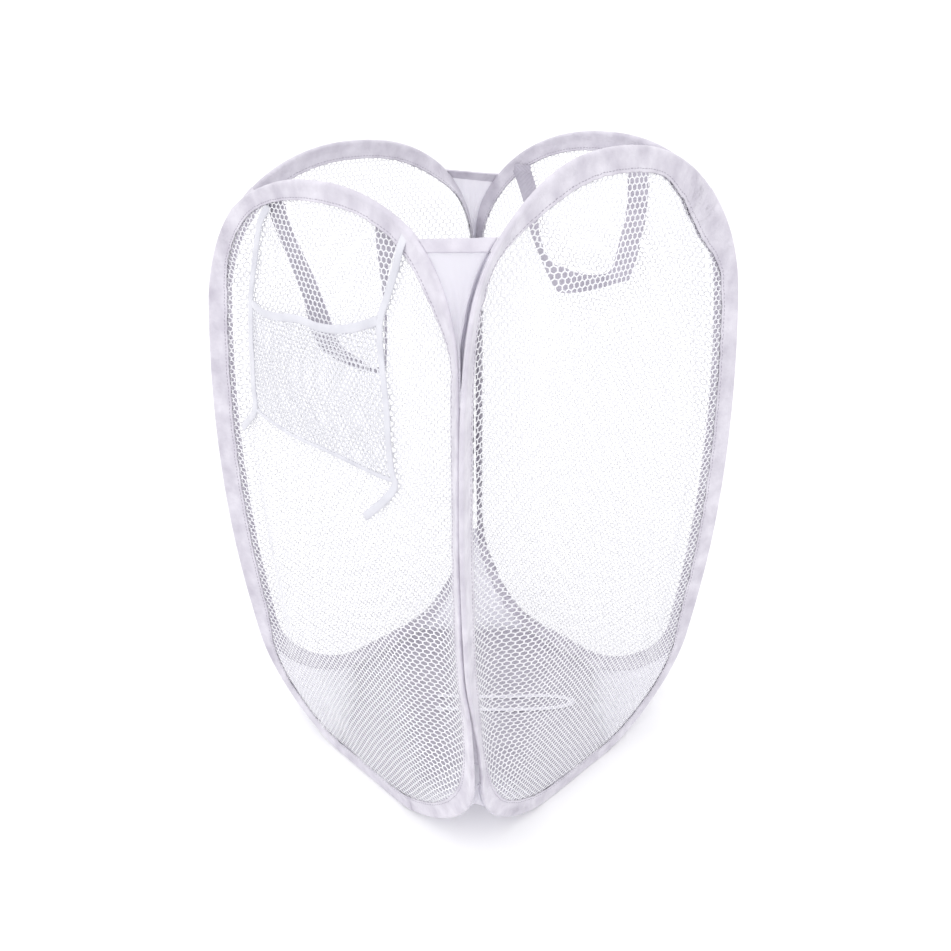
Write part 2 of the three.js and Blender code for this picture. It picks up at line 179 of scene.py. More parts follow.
def hoop_edge():
    """The outer edge of a hoop, seen face on, from the bottom's middle and anticlockwise.

    Each rounded stretch is a superellipse: (sin a)^(2/e) across and (cos a)^(2/e) up. Returns the
    length along the edge, across, up, and the two parts of the direction into the hoop."""
    a = np.linspace(0, np.pi / 2, QUARTER_POINTS)
    low, high = 2 / FOOT_ROUNDNESS, 2 / ARCH_ROUNDNESS
    shoulder = HEIGHT - ARCH_HEIGHT
    across = np.concatenate([
        [0],
        HOOP - FOOT_WIDTH + FOOT_WIDTH * np.sin(a) ** low,
        HOOP * np.cos(a[1:-1]) ** high,
    ])
    up = np.concatenate([
        [0],
        FOOT_HEIGHT * (1 - np.cos(a).clip(0) ** low),
        shoulder + ARCH_HEIGHT * np.sin(a[1:-1]) ** high,
    ])
    across = np.concatenate([across, [0], -across[:0:-1], [0]])
    up = np.concatenate([up, [HEIGHT], up[:0:-1], [0]])
    length = np.concatenate([[0], np.cumsum(np.hypot(np.diff(across), np.diff(up)))])
    even = np.linspace(0, length[-1], EDGE_POINTS)
    across, up = np.interp(even, length, across), np.interp(even, length, up)
    step = [np.roll(v[:-1], -1) - np.roll(v[:-1], 1) for v in (across, up)]
    size = np.hypot(*step)
    inward = [np.append(v, v[0]) for v in (-step[1] / size, step[0] / size)]
    return even, across, up, *inward


EDGE = hoop_edge()
EDGE_LENGTH = EDGE[0][-1]
TOP = EDGE_LENGTH / 2  # length along the edge to the top of the arch


def along(s):
    """Across, up and the inward direction of the hoop's edge at lengths s along it."""
    return [np.interp(np.mod(s, EDGE_LENGTH), EDGE[0], column) for column in EDGE[1:]]


def edge_across(up):
    """How far across the right half of the hoop's edge stands at a height."""
    half = len(EDGE[0]) // 2
    return np.interp(up, EDGE[2][1:half], EDGE[1][1:half])


def bulge(up):
    """How far a hoop bows out at a height, from its share t of the whole: the bulge times 4t(1 - t)."""
    t = np.clip(up / HEIGHT, 0, 1)
    return BULGE * 4 * t * (1 - t)


def upright_bulge(up):
    """The same for an arch that carries a handle, whose top blends into an upright plane."""
    share = smooth((up - UPRIGHT_FROM) / (UPRIGHT_TO - UPRIGHT_FROM))
    return bulge(up) * (1 - share) + TOP_BULGE * share


def widened(up):
    """How much wider than before it bowed a hoop is at a height."""
    return 1 + bulge(up) / HOOP


# How far the two hoops sway along themselves at the near corner, by height, in mm
SWAYS = {
    "front": (1, [
        (-20, 0), (0, 0), (50, 5), (100, 10), (140, 9.5), (195, 3.8),
        (250, -3.9), (350, -6.2), (470, -5), (550, -4), (590, -1), (640, 0),
    ]),
    "right": (-1, [
        (-20, 0), (0, 0), (50, 4), (100, 7), (140, 5.8), (195, -1), (250, -7.2),
        (350, -11), (440, -10.2), (500, -6), (560, -7), (600, -2), (640, 0),
    ]),
}
SWAY_POINTS = 200
SWAY_LINES = {
    panel: (end, curve_through(line, SWAY_POINTS).T * MM) for panel, (end, line) in SWAYS.items()
}


def sway(panel, across, up):
    """How far a point is carried to its panel's right: all of it at the swaying end, and less by the
    cube of its distance from the middle."""
    if panel not in SWAY_LINES:
        return np.zeros_like(across)
    end, (heights, shifts) = SWAY_LINES[panel]
    return np.interp(up, heights, shifts) * np.clip(end * across / HOOP, 0, 1) ** 3


def turned_in(panel, across, up):
    """How far a point lies inwards of its hoop's plane because the sleeve there is turned: the
    steepness times the depth within the hoop, dying away past the sleeve."""
    left, right = TURNS[panel]
    start, end = TURN_SHARES
    grown = smooth((np.abs(across) / HOOP - start) / (end - start))
    steep = np.where(across > 0, right, left) * grown
    high = smooth((up - TURN_FROM) / TURN_RISE) * smooth((TURN_TO[panel] - up) / TURN_FALL)
    deep = depth_in(across, up)
    return steep * high * deep * np.exp(-((np.clip(deep - SLEEVE_WIDTH, 0, None) / TURN_REACH) ** 2))


def depth_in(across, up):
    """Roughly how far a point of a panel lies within the hoop's edge: from a corner's superellipse
    it is 1 less the point's share of the way out, over how fast that share grows."""
    high = up > HEIGHT - ARCH_HEIGHT
    low = up < FOOT_HEIGHT
    wide = np.where(low, FOOT_WIDTH, HOOP)
    tall = np.where(low, FOOT_HEIGHT, ARCH_HEIGHT)
    power = np.where(low, FOOT_ROUNDNESS, ARCH_ROUNDNESS)
    a = np.clip(np.abs(across) - np.where(low, HOOP - FOOT_WIDTH, 0), 1e-6, None) / wide
    b = np.where(high, up - HEIGHT + ARCH_HEIGHT, FOOT_HEIGHT - up)
    b = np.where(high | low, np.clip(b, 1e-6, None), 1e-6) / tall
    share = (a**power + b**power) ** (1 / power)
    growth = share ** (1 - power) * np.hypot(a ** (power - 1) / wide, b ** (power - 1) / tall)
    return np.clip((1 - share) / growth, 0, None)


def drooped(panel, up):
    """How far a point of an arch hangs down: in step with its height over the hoop's middle, and
    more at its crown."""
    crown = CROWN[panel] * smooth((up - CROWN_FROM) / (HEIGHT - CROWN_FROM))
    return DROOP[panel] * np.clip(2 * up / HEIGHT - 1, 0, 1) + crown


def place(panel, across, out, up):
    """Panel coordinates to the hamper's: the hoop bows, widens, leans, sways and droops, its sleeve
    turns in, and the point turns about Z by the panel's quarter turns."""
    across, out, up = np.broadcast_arrays(across, out, up)
    carried = LEAN[panel] != 0
    bow = upright_bulge(up) if carried else bulge(up)
    lean = LEAN[panel] * (bow - bulge(up))
    slit = SLIT * smooth((SLIT_TOP - up) / (SLIT_TOP - SLIT_FOOT)) * (across / HOOP) ** SLIT_POWER
    x = across * widened(up) + lean - slit + sway(panel, across, up)
    y = -(FOOT + bow) - out + turned_in(panel, across, up)
    for _ in range(PANELS.index(panel)):
        x, y = -y, x
    return np.stack([x, y, up - drooped(panel, up)], -1)


def new_mesh(name, points, faces, cloth=None):
    """A mesh object at the origin. cloth gives each corner of each face its place on the cloth, in
    metres, as the UV map that the weave follows."""
    mesh = bpy.data.meshes.new(name)
    mesh.from_pydata(np.asarray(points, float).reshape(-1, 3), [], faces)
    if cloth is not None:
        layer = mesh.uv_layers.new(name="cloth")
        corners = np.zeros(len(mesh.loops), np.int32)
        mesh.loops.foreach_get("vertex_index", corners)
        layer.uv.foreach_set("vector", cloth[corners].astype(np.float32).ravel())
    mesh.update()
    made = bpy.data.objects.new(name, mesh)
    bpy.context.collection.objects.link(made)
    return made


def grid_faces(rows, columns, wrap_rows=False, wrap_columns=False):
    """Quads between the neighbours of a grid of points, which may close on itself either way."""
    i = np.arange(rows if wrap_rows else rows - 1)[:, None]
    j = np.arange(columns if wrap_columns else columns - 1)[None, :]
    i, j = np.broadcast_arrays(i, j)
    ni, nj = (i + 1) % rows, (j + 1) % columns
    quads = [i * columns + j, ni * columns + j, ni * columns + nj, i * columns + nj]
    return np.stack(quads, -1).reshape(-1, 4)


def normals_of(points):
    """Unit normals of a grid surface: the cross product of its two directions."""
    n = np.cross(np.gradient(points, axis=0), np.gradient(points, axis=1))
    return n / np.maximum(np.linalg.norm(n, axis=-1, keepdims=True), 1e-12)


def cloth_sheet(name, points, thickness, cloth):
    """A sheet of an even thickness on both sides of a grid surface, closed along its rim."""
    rows, columns = points.shape[:2]
    n = normals_of(points) * thickness / 2
    both = np.concatenate([(points + n).reshape(-1, 3), (points - n).reshape(-1, 3)])
    front = grid_faces(rows, columns)
    size = rows * columns
    back = front[:, ::-1] + size
    index = np.arange(size).reshape(rows, columns)
    rim = np.concatenate([index[:-1, 0], index[-1, :-1], index[:0:-1, -1], index[0, :0:-1]])
    after = np.roll(rim, -1)
    side = np.stack([after, rim, rim + size, after + size], -1)
    faces = np.concatenate([front, back, side]).tolist()
    made = new_mesh(name, both, faces, np.concatenate([cloth.reshape(-1, 2)] * 2))
    made.data.polygons.foreach_set("use_smooth", [True] * len(made.data.polygons))
    made.data.set_sharp_from_angle(angle=SHARP_ANGLE)
    return made


def tube(name, path, wide, half_width, half_thickness, sides=10):
    """An oval section carried along a path, with flat ends: wide is the direction of its longer
    axis at each point."""
    path, wide = np.asarray(path, float), np.asarray(wide, float)
    wide = np.broadcast_to(wide, path.shape)
    forward = np.gradient(path, axis=0)
    forward /= np.linalg.norm(forward, axis=1, keepdims=True)
    wide = wide - (wide * forward).sum(1, keepdims=True) * forward
    wide /= np.linalg.norm(wide, axis=1, keepdims=True)
    thin = np.cross(forward, wide)
    angle = np.linspace(0, 2 * np.pi, sides, endpoint=False)
    corner = 0.75  # below 1, the section is squarer than an ellipse
    c = np.sign(np.cos(angle)) * np.abs(np.cos(angle)) ** corner * half_width
    s = np.sign(np.sin(angle)) * np.abs(np.sin(angle)) ** corner * half_thickness
    rings = path[:, None] + wide[:, None] * c[:, None] + thin[:, None] * s[:, None]
    rows = len(path)
    run = np.append(0, np.cumsum(np.linalg.norm(np.diff(path, axis=0), axis=1)))
    u, v = np.broadcast_arrays(run[:, None], angle * half_width)
    cloth = np.stack([u, v], -1).reshape(-1, 2)
    faces = grid_faces(rows, sides, False, True).tolist()
    faces.append(list(range(sides)))
    faces.append(list(range(rows * sides - 1, (rows - 1) * sides - 1, -1)))
    return new_mesh(name, rings.reshape(-1, 3), faces, cloth)


def inside(outline, x, y):
    """Which points lie inside a closed outline: a ray to the right of one crosses it an odd number
    of times."""
    ax, ay = outline.T
    bx, by = np.roll(outline, -1, 0).T
    px, py = x.reshape(-1, 1), y.reshape(-1, 1)
    crosses = (ay > py) != (by > py)
    rise = np.where(by == ay, 1, by - ay)
    hits = crosses & (px < ax + (bx - ax) * (py - ay) / rise)
    return (hits.sum(1) % 2 == 1).reshape(x.shape)


def netting(name, outline, cell, row, strand, surface):
    """Knitted net: a sheet with a six sided hole in each cell of offset rows, inside an outline.

    Each cell has the six corners of its hole in a front and a back layer. Between two neighbouring
    holes lies a quad, where three meet a triangle, and each hole has a wall from layer to layer.
    surface turns across, up and the layer's offset into places."""
    low, high = outline.min(0), outline.max(0)
    columns = int((high[0] - low[0]) / cell) + 3
    rows = int((high[1] - low[1]) / row) + 3
    j, i = np.mgrid[0:rows, 0:columns]
    x = low[0] + cell * (i - 1 + (j % 2) / 2)
    y = low[1] + row * (j - 1)
    there = inside(outline, x, y)
    share = 1 - strand / cell
    reach = np.array([[1, 1 / 3], [0, 2 / 3], [-1, 1 / 3], [-1, -1 / 3], [0, -2 / 3], [1, -1 / 3]])
    reach = reach * [cell / 2, row] * share
    ids = np.full((rows, columns), -1)
    ids[there] = np.arange(there.sum()) * 6
    corner_x = (x[there][:, None] + reach[:, 0]).ravel()
    corner_y = (y[there][:, None] + reach[:, 1]).ravel()
    count = len(corner_x)

    inner = (slice(0, rows - 1), slice(1, columns - 1))
    here, shift = ids[inner], (j % 2)[inner]
    east = ids[0 : rows - 1, 2:columns]
    above = np.where(shift == 1, ids[1:rows, 2:columns], ids[1:rows, 1 : columns - 1])
    left_above = np.where(shift == 1, ids[1:rows, 1 : columns - 1], ids[1:rows, 0 : columns - 2])

    def faces_of(*parts):
        cells = [part[0] for part in parts]
        full = np.logical_and.reduce([c >= 0 for c in cells])
        return np.stack([(c + k)[full] for c, k in parts], -1)

    quads = np.concatenate([
        faces_of((here, 5), (east, 3), (east, 2), (here, 0)),
        faces_of((here, 0), (above, 4), (above, 3), (here, 1)),
        faces_of((here, 1), (left_above, 5), (left_above, 4), (here, 2)),
    ])
    triangles = np.concatenate([
        faces_of((here, 1), (above, 3), (left_above, 5)),
        faces_of((here, 0), (east, 2), (above, 4)),
    ])
    start = np.arange(0, count, 6)[:, None]
    k = np.arange(6)
    a, b = (start + k).ravel(), (start + (k + 1) % 6).ravel()
    wall = np.stack([a, b, b + count, a + count], -1)
    run = np.concatenate([
        *(np.stack([quads[:, m], quads[:, (m + 1) % 4]], -1) for m in range(4)),
        *(np.stack([triangles[:, m], triangles[:, (m + 1) % 3]], -1) for m in range(3)),
    ])
    met = np.concatenate([run[:, 0] * count + run[:, 1], a * count + b])
    open_edge = run[~np.isin(run[:, 1] * count + run[:, 0], met)]
    p, q = open_edge.T
    rim = np.stack([q, p, p + count, q + count], -1)
    used_wall = wall[np.isin(b * count + a, run[:, 0] * count + run[:, 1])]

    places = np.concatenate([
        surface(corner_x, corner_y, NET_THICKNESS / 2),
        surface(corner_x, corner_y, -NET_THICKNESS / 2),
    ])
    faces = [
        *quads.tolist(),
        *(quads[:, ::-1] + count).tolist(),
        *triangles.tolist(),
        *(triangles[:, ::-1] + count).tolist(),
        *used_wall.tolist(),
        *rim.tolist(),
    ]
    made = new_mesh(name, places, faces)
    length = count / 6 * (cell / 2 + 2 * math.hypot(cell / 2, row / 3))
    made["thread_area"] = length * strand
    return made


# A stitch along its length: the share of the way, and the share of the thread's radius there
STITCH_SHARES = ((0, 0.25), (0.18, 1), (0.82, 1), (1, 0.25))


def stitches(name, starts, ends, outward):
    """Thread stitches: each a six sided spindle that stands half out of the cloth."""
    sides = 6
    angle = np.linspace(0, 2 * np.pi, sides, endpoint=False)
    forward = ends - starts
    forward = forward / np.linalg.norm(forward, axis=1, keepdims=True)
    across = np.cross(forward, outward)
    ring = across[:, None] * np.cos(angle)[:, None] + outward[:, None] * np.sin(angle)[:, None]
    rows = []
    for share, radius in STITCH_SHARES:
        middle = starts + (ends - starts) * share
        rows.append(middle[:, None] + ring * THREAD * radius)
    points = np.stack(rows, 1).reshape(-1, 3)
    rings = len(STITCH_SHARES)
    one = grid_faces(rings, sides, False, True)
    base = np.arange(len(starts))[:, None, None] * rings * sides
    faces = (one[None] + base).reshape(-1, 4).tolist()
    caps = np.stack([np.arange(sides), np.arange(rings * sides - 1, (rings - 1) * sides - 1, -1)])
    faces += (caps[None] + base).reshape(-1, sides).tolist()
    return new_mesh(name, points, faces)


# Materials

# Sizes of the soft patches of tone in each finish, and of what stands out on it
CLOTH_PATCH = 20 * MM
BONDED_PATCH = 25 * MM
NET_PATCH = 40 * MM
WEBBING_PATCH = 18 * MM
STEEL_PATCH = 12 * MM
CREASE_SIZE = 9 * MM
FIBRE_SIZE = 1.1 * MM
YARN_LOOP = 0.8 * MM
YARN_DEPTH = 0.12 * MM
RIB_DEPTH = 0.25 * MM
RIB_SLANT = math.radians(35)


def colour(code):
    """An sRGB hex value as linear red, green, blue and alpha."""
    parts = [int(code[i : i + 2], 16) / 255 for i in (1, 3, 5)]
    linear = [p / 12.92 if p <= 0.04045 else ((p + 0.055) / 1.055) ** 2.4 for p in parts]
    return (*linear, 1)


def add(tree, kind, inputs=(), **settings):
    """Adds a shader node: settings are its own values, and inputs its sockets' values or links."""
    made = tree.nodes.new("ShaderNode" + kind)
    for name, value in settings.items():
        setattr(made, name, value)
    for name, value in dict(inputs).items():
        if isinstance(value, bpy.types.NodeSocket):
            tree.links.new(value, made.inputs[name])
        else:
            made.inputs[name].default_value = value
    return made


def surface_of(name, roughness, sheen=0.0, metallic=0.0, through=0.0):
    """A new material, its node tree and its shader, with the numbers that are even all over."""
    made = bpy.data.materials.new(name)
    made.use_nodes = True
    tree = made.node_tree
    shader = tree.nodes["Principled BSDF"]
    shader.inputs["Roughness"].default_value = roughness
    shader.inputs["Sheen Weight"].default_value = sheen
    shader.inputs["Sheen Roughness"].default_value = 0.4
    shader.inputs["Metallic"].default_value = metallic
    shader.inputs["Subsurface Weight"].default_value = through
    shader.inputs["Subsurface Radius"].default_value = (2 * MM, 2 * MM, 2 * MM)
    return made, tree, shader


def tinted(tree, shader, light, dark, size):
    """Colour between two tones in soft patches of a given size, on the object's own coordinates,
    which it returns."""
    here = add(tree, "TexCoord").outputs["Object"]
    patches = add(tree, "TexNoise", {"Vector": here, "Scale": 1 / size, "Detail": 3})
    mix = add(tree, "Mix", {"Factor": patches.outputs["Fac"]}, data_type="RGBA")
    mix.inputs[6].default_value = colour(dark)
    mix.inputs[7].default_value = colour(light)
    tree.links.new(mix.outputs[2], shader.inputs["Base Color"])
    return here


def relief(tree, shader, height, depth):
    """The shader's surface stands out by depth where height is 1."""
    bump = add(tree, "Bump", {"Height": height, "Distance": depth, "Strength": 1.0})
    tree.links.new(bump.outputs["Normal"], shader.inputs["Normal"])
    return bump


def woven(name, light, dark, thread, roughness, depth, crease=0.0):
    """Plain weave: two sets of ridges at right angles, one thread apart, on the cloth's own map,
    over soft creases of a given depth."""
    made, tree, shader = surface_of(name, roughness, sheen=0.35)
    cloth = add(tree, "UVMap", uv_map="cloth").outputs["UV"]
    here = tinted(tree, shader, light, dark, CLOTH_PATCH)
    ridges = [
        add(
            tree,
            "TexWave",
            {"Vector": cloth, "Scale": 1 / (thread * 2 * math.pi), "Distortion": 0.4, "Detail": 1},
            bands_direction=direction,
        ).outputs["Fac"]
        for direction in ("X", "Y")
    ]
    weave = add(tree, "Math", {0: ridges[0], 1: ridges[1]}, operation="MAXIMUM").outputs[0]
    bump = relief(tree, shader, weave, depth)
    if crease:
        folds = add(tree, "TexNoise", {"Vector": here, "Scale": 1 / CREASE_SIZE, "Detail": 3})
        folds.inputs["Distortion"].default_value = 1.2
        under = add(tree, "Bump", {"Height": folds.outputs["Fac"], "Distance": crease})
        tree.links.new(under.outputs["Normal"], bump.inputs["Normal"])
    return made


def bonded(name, light, dark, dot, roughness, depth, through):
    """Non-woven cloth: matted fibres pressed flat in rows of small dots."""
    made, tree, shader = surface_of(name, roughness, sheen=0.2)
    cloth = add(tree, "UVMap", uv_map="cloth").outputs["UV"]
    tinted(tree, shader, light, dark, BONDED_PATCH)
    dots = add(
        tree, "TexVoronoi", {"Vector": cloth, "Scale": 1 / dot, "Randomness": 0.15}
    ).outputs["Distance"]
    fibres = add(tree, "TexNoise", {"Vector": cloth, "Scale": 1 / FIBRE_SIZE, "Detail": 6})
    height = add(tree, "Math", {0: dots, 1: fibres.outputs["Fac"]}, operation="ADD").outputs[0]
    relief(tree, shader, height, depth)
    glow = add(tree, "BsdfTranslucent")
    glow.inputs["Color"].default_value = colour(light)
    both = add(tree, "MixShader", {1: shader.outputs[0], 2: glow.outputs[0]})
    both.inputs[0].default_value = through
    tree.links.new(both.outputs[0], tree.nodes["Material Output"].inputs["Surface"])
    return made


def knitted(name, light, dark, roughness):
    """Warp knitted polyester: bright yarn with loops along each strand."""
    made, tree, shader = surface_of(name, roughness, sheen=0.15, through=0.2)
    here = tinted(tree, shader, light, dark, NET_PATCH)
    loops = add(tree, "TexVoronoi", {"Vector": here, "Scale": 1 / YARN_LOOP, "Randomness": 0.6})
    relief(tree, shader, loops.outputs["Distance"], YARN_DEPTH)
    return made


def webbed(name, light, dark, rib):
    """Polypropylene webbing: ribs that run slantwise over the strap."""
    made, tree, shader = surface_of(name, 0.5, sheen=0.25)
    cloth = add(tree, "UVMap", uv_map="cloth").outputs["UV"]
    tinted(tree, shader, light, dark, WEBBING_PATCH)
    slanted = add(tree, "Mapping", {"Vector": cloth, "Rotation": (0, 0, RIB_SLANT)})
    ribs = add(
        tree,
        "TexWave",
        {"Vector": slanted.outputs["Vector"], "Scale": 1 / (rib * 2 * math.pi), "Distortion": 0.3},
        bands_direction="X",
    )
    relief(tree, shader, ribs.outputs["Fac"], RIB_DEPTH)
    return made


# Polyester taffeta, plain woven and dyed a pale lilac grey: matt, a soft sheen at grazing angles.
# Its thread is about 0.3 mm, drawn at 0.9 mm so that it can show.
# Its colour wanders in soft random patches down to a much darker lilac grey: that darker tone is
# painted shade, for the mottled shade of the puckered cloth.
binding_cloth = woven(
    "polyester taffeta binding", "#E6E3EB", "#A19BAA", 0.9 * MM, 0.78, 0.05 * MM, crease=1 * MM
)
# The same cloth as a narrow binding tape, a little lighter.
pocket_tape = woven("polyester binding tape", "#DEDEE4", "#B8B8C2", 0.8 * MM, 0.75, 0.05 * MM)
# Spunbonded polypropylene, thin and pale: light comes through it.
gusset_cloth = bonded(
    "spunbonded polypropylene gusset", "#F3F2F6", "#E3E1E9", 1.6 * MM, 0.85, 0.1 * MM, through=0.65
)
# The same cloth, heavier, for the floor: its greyer tone is painted shade, for the shade inside the
# hamper.
base_cloth = bonded(
    "spunbonded polypropylene base", "#BFBBC6", "#A5A0AD", 1.8 * MM, 0.88, 0.12 * MM, through=0.1
)
# White polyester net, warp knitted.
panel_net = knitted("warp knitted polyester net", "#E9E9EC", "#DFDFE3", 0.6)
pocket_net_finish = knitted("fine warp knitted polyester net", "#DEDEE3", "#CECED5", 0.6)
# Polypropylene webbing: ribs 1.6 mm apart, with the shine of flat slit yarn.
webbing_finish = webbed("polypropylene webbing", "#BEBAC6", "#9A95A3", 1.6 * MM)
# Sewing thread, spun polyester, slightly glossy.
thread_finish = knitted("spun polyester thread", "#A09BA8", "#928D9B", 0.45)
# Flat elastic: ribs both ways, 1.1 mm apart, pale and fairly matt.
elastic_finish = woven("ribbed elastic", "#E2E0E8", "#D2CFDA", 1.1 * MM, 0.7, 0.08 * MM)


def steel():
    """Tempered spring steel strip, as rolled: a smooth grey metal in soft patches of two tones."""
    made, tree, shader = surface_of("tempered spring steel", 0.35, metallic=1.0)
    tinted(tree, shader, "#A3A7AD", "#8B8F96", STEEL_PATCH)
    return made


spring_steel = steel()


def finish_piece(piece, material, body, nodes=(), flattens=None, shade=True):
    """Gives a piece its material and slot, sets it on its body and hides the frame's parts that it
    stands for.
    """
    piece.data.materials.append(material)
    if shade:
        piece.data.polygons.foreach_set("use_smooth", [True] * len(piece.data.polygons))
    if flattens:
        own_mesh(piece)
    if body:
        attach(piece, body)
    if nodes:
        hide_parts(*nodes)
    return piece


# Sleeves, wires and nets

# Where the cloth is gathered, along the hoop's edge: from, to, extra width and depth of its folds
GATHERS = {
    "right": [
        (600 * MM, TOP - 45 * MM, 15 * MM, 4 * MM),
        (EDGE_LENGTH - 160 * MM, EDGE_LENGTH, 3 * MM, 3.4 * MM),
    ],
    "front": [
        (500 * MM, 610 * MM, 2 * MM, 2.4 * MM),
        (TOP + 100 * MM, TOP + 210 * MM, 3 * MM, 2.4 * MM),
    ],
}
LAPS = {"front": 55 * MM, "right": 30 * MM, "back": 40 * MM, "left": 35 * MM}
LAP_LENGTH = 24 * MM
LAP_STEP = 0.05 * MM
SLEEVE_ROWS = 760
# Where the points of the sleeve's section lie, from its rim to the wire: how far in from the hoop's
# edge, as shares of the sleeve's width
OUTER_SHARES = [1, 0.95, 0.91, 0.87, 0.83, 0.75, 0.65, 0.55]
OUTER_SHARES += [0.45, 0.35, 0.26, 0.19, 0.13, 0.08, 0.04, 0.0125]
INNER_SHARES = [0.99, 0.875, 0.7, 0.55, 0.4, 0.275, 0.18, 0.1, 0.05]
INNER_FOLD = 0.5 * MM  # how far in from the hoop's edge the inner ply turns back

FALL = 7 * MM  # the stretch over which the bead thins to the lip
GROOVE = 0.22 * MM
GROOVE_REACH = 0.8 * MM

# Puckers: the shortest and the longest wave of each kind
WAVE_LENGTHS = {
    "fine": (7 * MM, 19 * MM),
    "broad": (24 * MM, 70 * MM),
    "pleats": (11 * MM, 21 * MM),
    "scallops": (9 * MM, 23 * MM),
    "width": (30 * MM, 50 * MM),
}
PUCKER_FROM = 3 * MM  # they begin this far in from the wire's edge and are whole after their reach
PUCKER_REACH = 6 * MM
FINE_PUCKER = 0.7 * MM
ARCH_PUCKER = 0.9 * MM  # so much more on the arch
ARCH_SHARES = (0.28, 0.72)  # of the edge's length: the arch
ARCH_BLEND_SHARE = 0.08
BROAD_PUCKER = 0.7 * MM
PUCKER_LOW = -0.3 * MM
CALM_SHARE = 0.35  # of the puckers, on an inner face that carries a handle's ends
PUCKER_SLANT = 0.35
PLEAT_SLANT = 0.8
PLEAT_FROM = 9 * MM  # a pleat dies away from here to the rim
PLEAT_REACH = 8 * MM
PLEAT_LOSS_SHARE = 0.8
GATHER_REACH = 70 * MM
SCALLOP = 0.6 * MM
RIM_FROM = 6 * MM  # the rim's scallops reach in to here


def half_thickness(inward):
    """Half the sleeve's outer thickness: a round bead over the wire, then flat to the seam's groove."""
    bead = np.sqrt(np.clip(BEAD**2 - (BEAD - inward) ** 2, 0, None))
    fall = smooth((inward - BEAD) / FALL)
    flat = BEAD + (LIP - BEAD) * fall
    groove = GROOVE * np.exp(-(((inward - SLEEVE_WIDTH + SEAM_INSET) / GROOVE_REACH) ** 2))
    return np.where(inward < BEAD, bead, flat) - groove


def gathered(panel, s):
    """The extra width and the depth of folds of the gathered cloth at lengths s along a hoop."""
    extra, depth = np.zeros_like(s), np.zeros_like(s)
    for start, end, wide, deep in GATHERS.get(panel, []):
        reach = min(GATHER_REACH, (end - start) / 2)
        share = smooth((s - start) / reach) * smooth((end - s) / reach)
        extra, depth = extra + share * wide, depth + share * deep
    return extra, depth


def sleeve_point(panel, s, inward, side, ply=0.0):
    """A point of the sleeve's outer face: puckers run in from the seam and fade at the wire.

    s is the length along the hoop, inward the distance from its edge, side 1 outside and -1 inside
    the hamper, and ply how far below the outer face the point lies."""
    s, inward = np.broadcast_arrays(s, inward)
    seed = PANELS.index(panel) * 10
    extra, depth = gathered(panel, s)
    low, high = ((s / EDGE_LENGTH - edge) / ARCH_BLEND_SHARE for edge in ARCH_SHARES)
    arch = smooth(low) * smooth(-high)
    flat = smooth((inward - PUCKER_FROM) / PUCKER_REACH)
    slant = s + PUCKER_SLANT * inward
    fine = 0.5 + 0.5 * waves(seed + (side > 0), slant, *WAVE_LENGTHS["fine"])
    broad = waves(seed + 2 + (side > 0), slant, *WAVE_LENGTHS["broad"])
    calm = CALM_SHARE if side < 0 and LEAN[panel] else 1
    pucker = calm * flat * ((FINE_PUCKER + ARCH_PUCKER * arch) * fine**1.6 + BROAD_PUCKER * broad)
    pleats = np.abs(waves(seed + 4, s + PLEAT_SLANT * inward, *WAVE_LENGTHS["pleats"], 5)) ** 0.8
    rim = 1 - PLEAT_LOSS_SHARE * smooth((inward - PLEAT_FROM) / PLEAT_REACH)
    pucker = pucker + flat * rim * depth * pleats
    lap = np.abs(s - LAPS[panel] - LAP_LENGTH / 2) < LAP_LENGTH / 2
    out = side * (half_thickness(inward) - ply + np.clip(pucker, PUCKER_LOW, None) + PLY * lap)
    share = smooth((inward - RIM_FROM) / (SLEEVE_WIDTH - RIM_FROM))
    scallop = SCALLOP * waves(seed + 6, s, *WAVE_LENGTHS["scallops"])
    wider = extra * (0.88 + 0.12 * waves(seed + 7, s, *WAVE_LENGTHS["width"]))
    inward = inward + share * (scallop + wider)
    across, up, in_across, in_up = along(s)
    return place(panel, across + in_across * inward, out, up + in_up * inward)


def sleeve(panel):
    """The sleeve: a strip of cloth folded over the wire, as a closed section carried round the hoop."""
    outer = np.array(OUTER_SHARES) * SLEEVE_WIDTH
    inner = np.array(INNER_SHARES) * SLEEVE_WIDTH
    rows = np.linspace(0, EDGE_LENGTH, SLEEVE_ROWS, endpoint=False)
    for start in (LAPS[panel], LAPS[panel] + LAP_LENGTH):
        rows = np.append(rows, [start - LAP_STEP, start + LAP_STEP])
    rows = np.sort(rows)[:, None]
    parts = [
        sleeve_point(panel, rows, outer[None], 1),
        sleeve_point(panel, rows, np.zeros((1, 1)), 1),
        sleeve_point(panel, rows, outer[None, ::-1], -1),
        sleeve_point(panel, rows, inner[None], -1, PLY),
        sleeve_point(panel, rows, np.full((1, 1), INNER_FOLD), 1, PLY),
        sleeve_point(panel, rows, inner[None, ::-1], 1, PLY),
    ]
    points = np.concatenate(parts, 1)
    count, columns = points.shape[:2]
    strip = np.concatenate([-outer, [0], outer[::-1], inner, [0], -inner[::-1]])
    u, v = np.broadcast_arrays(rows, strip[None])
    cloth = np.stack([u, v], -1).reshape(-1, 2)
    faces = grid_faces(count, columns, True, True)[:, ::-1].tolist()
    made = new_mesh(f"{panel}_sleeve", points, faces, cloth)
    return finish_piece(
        made, binding_cloth, f"{panel}_panel", [f"{panel}_binding"], panel
    )


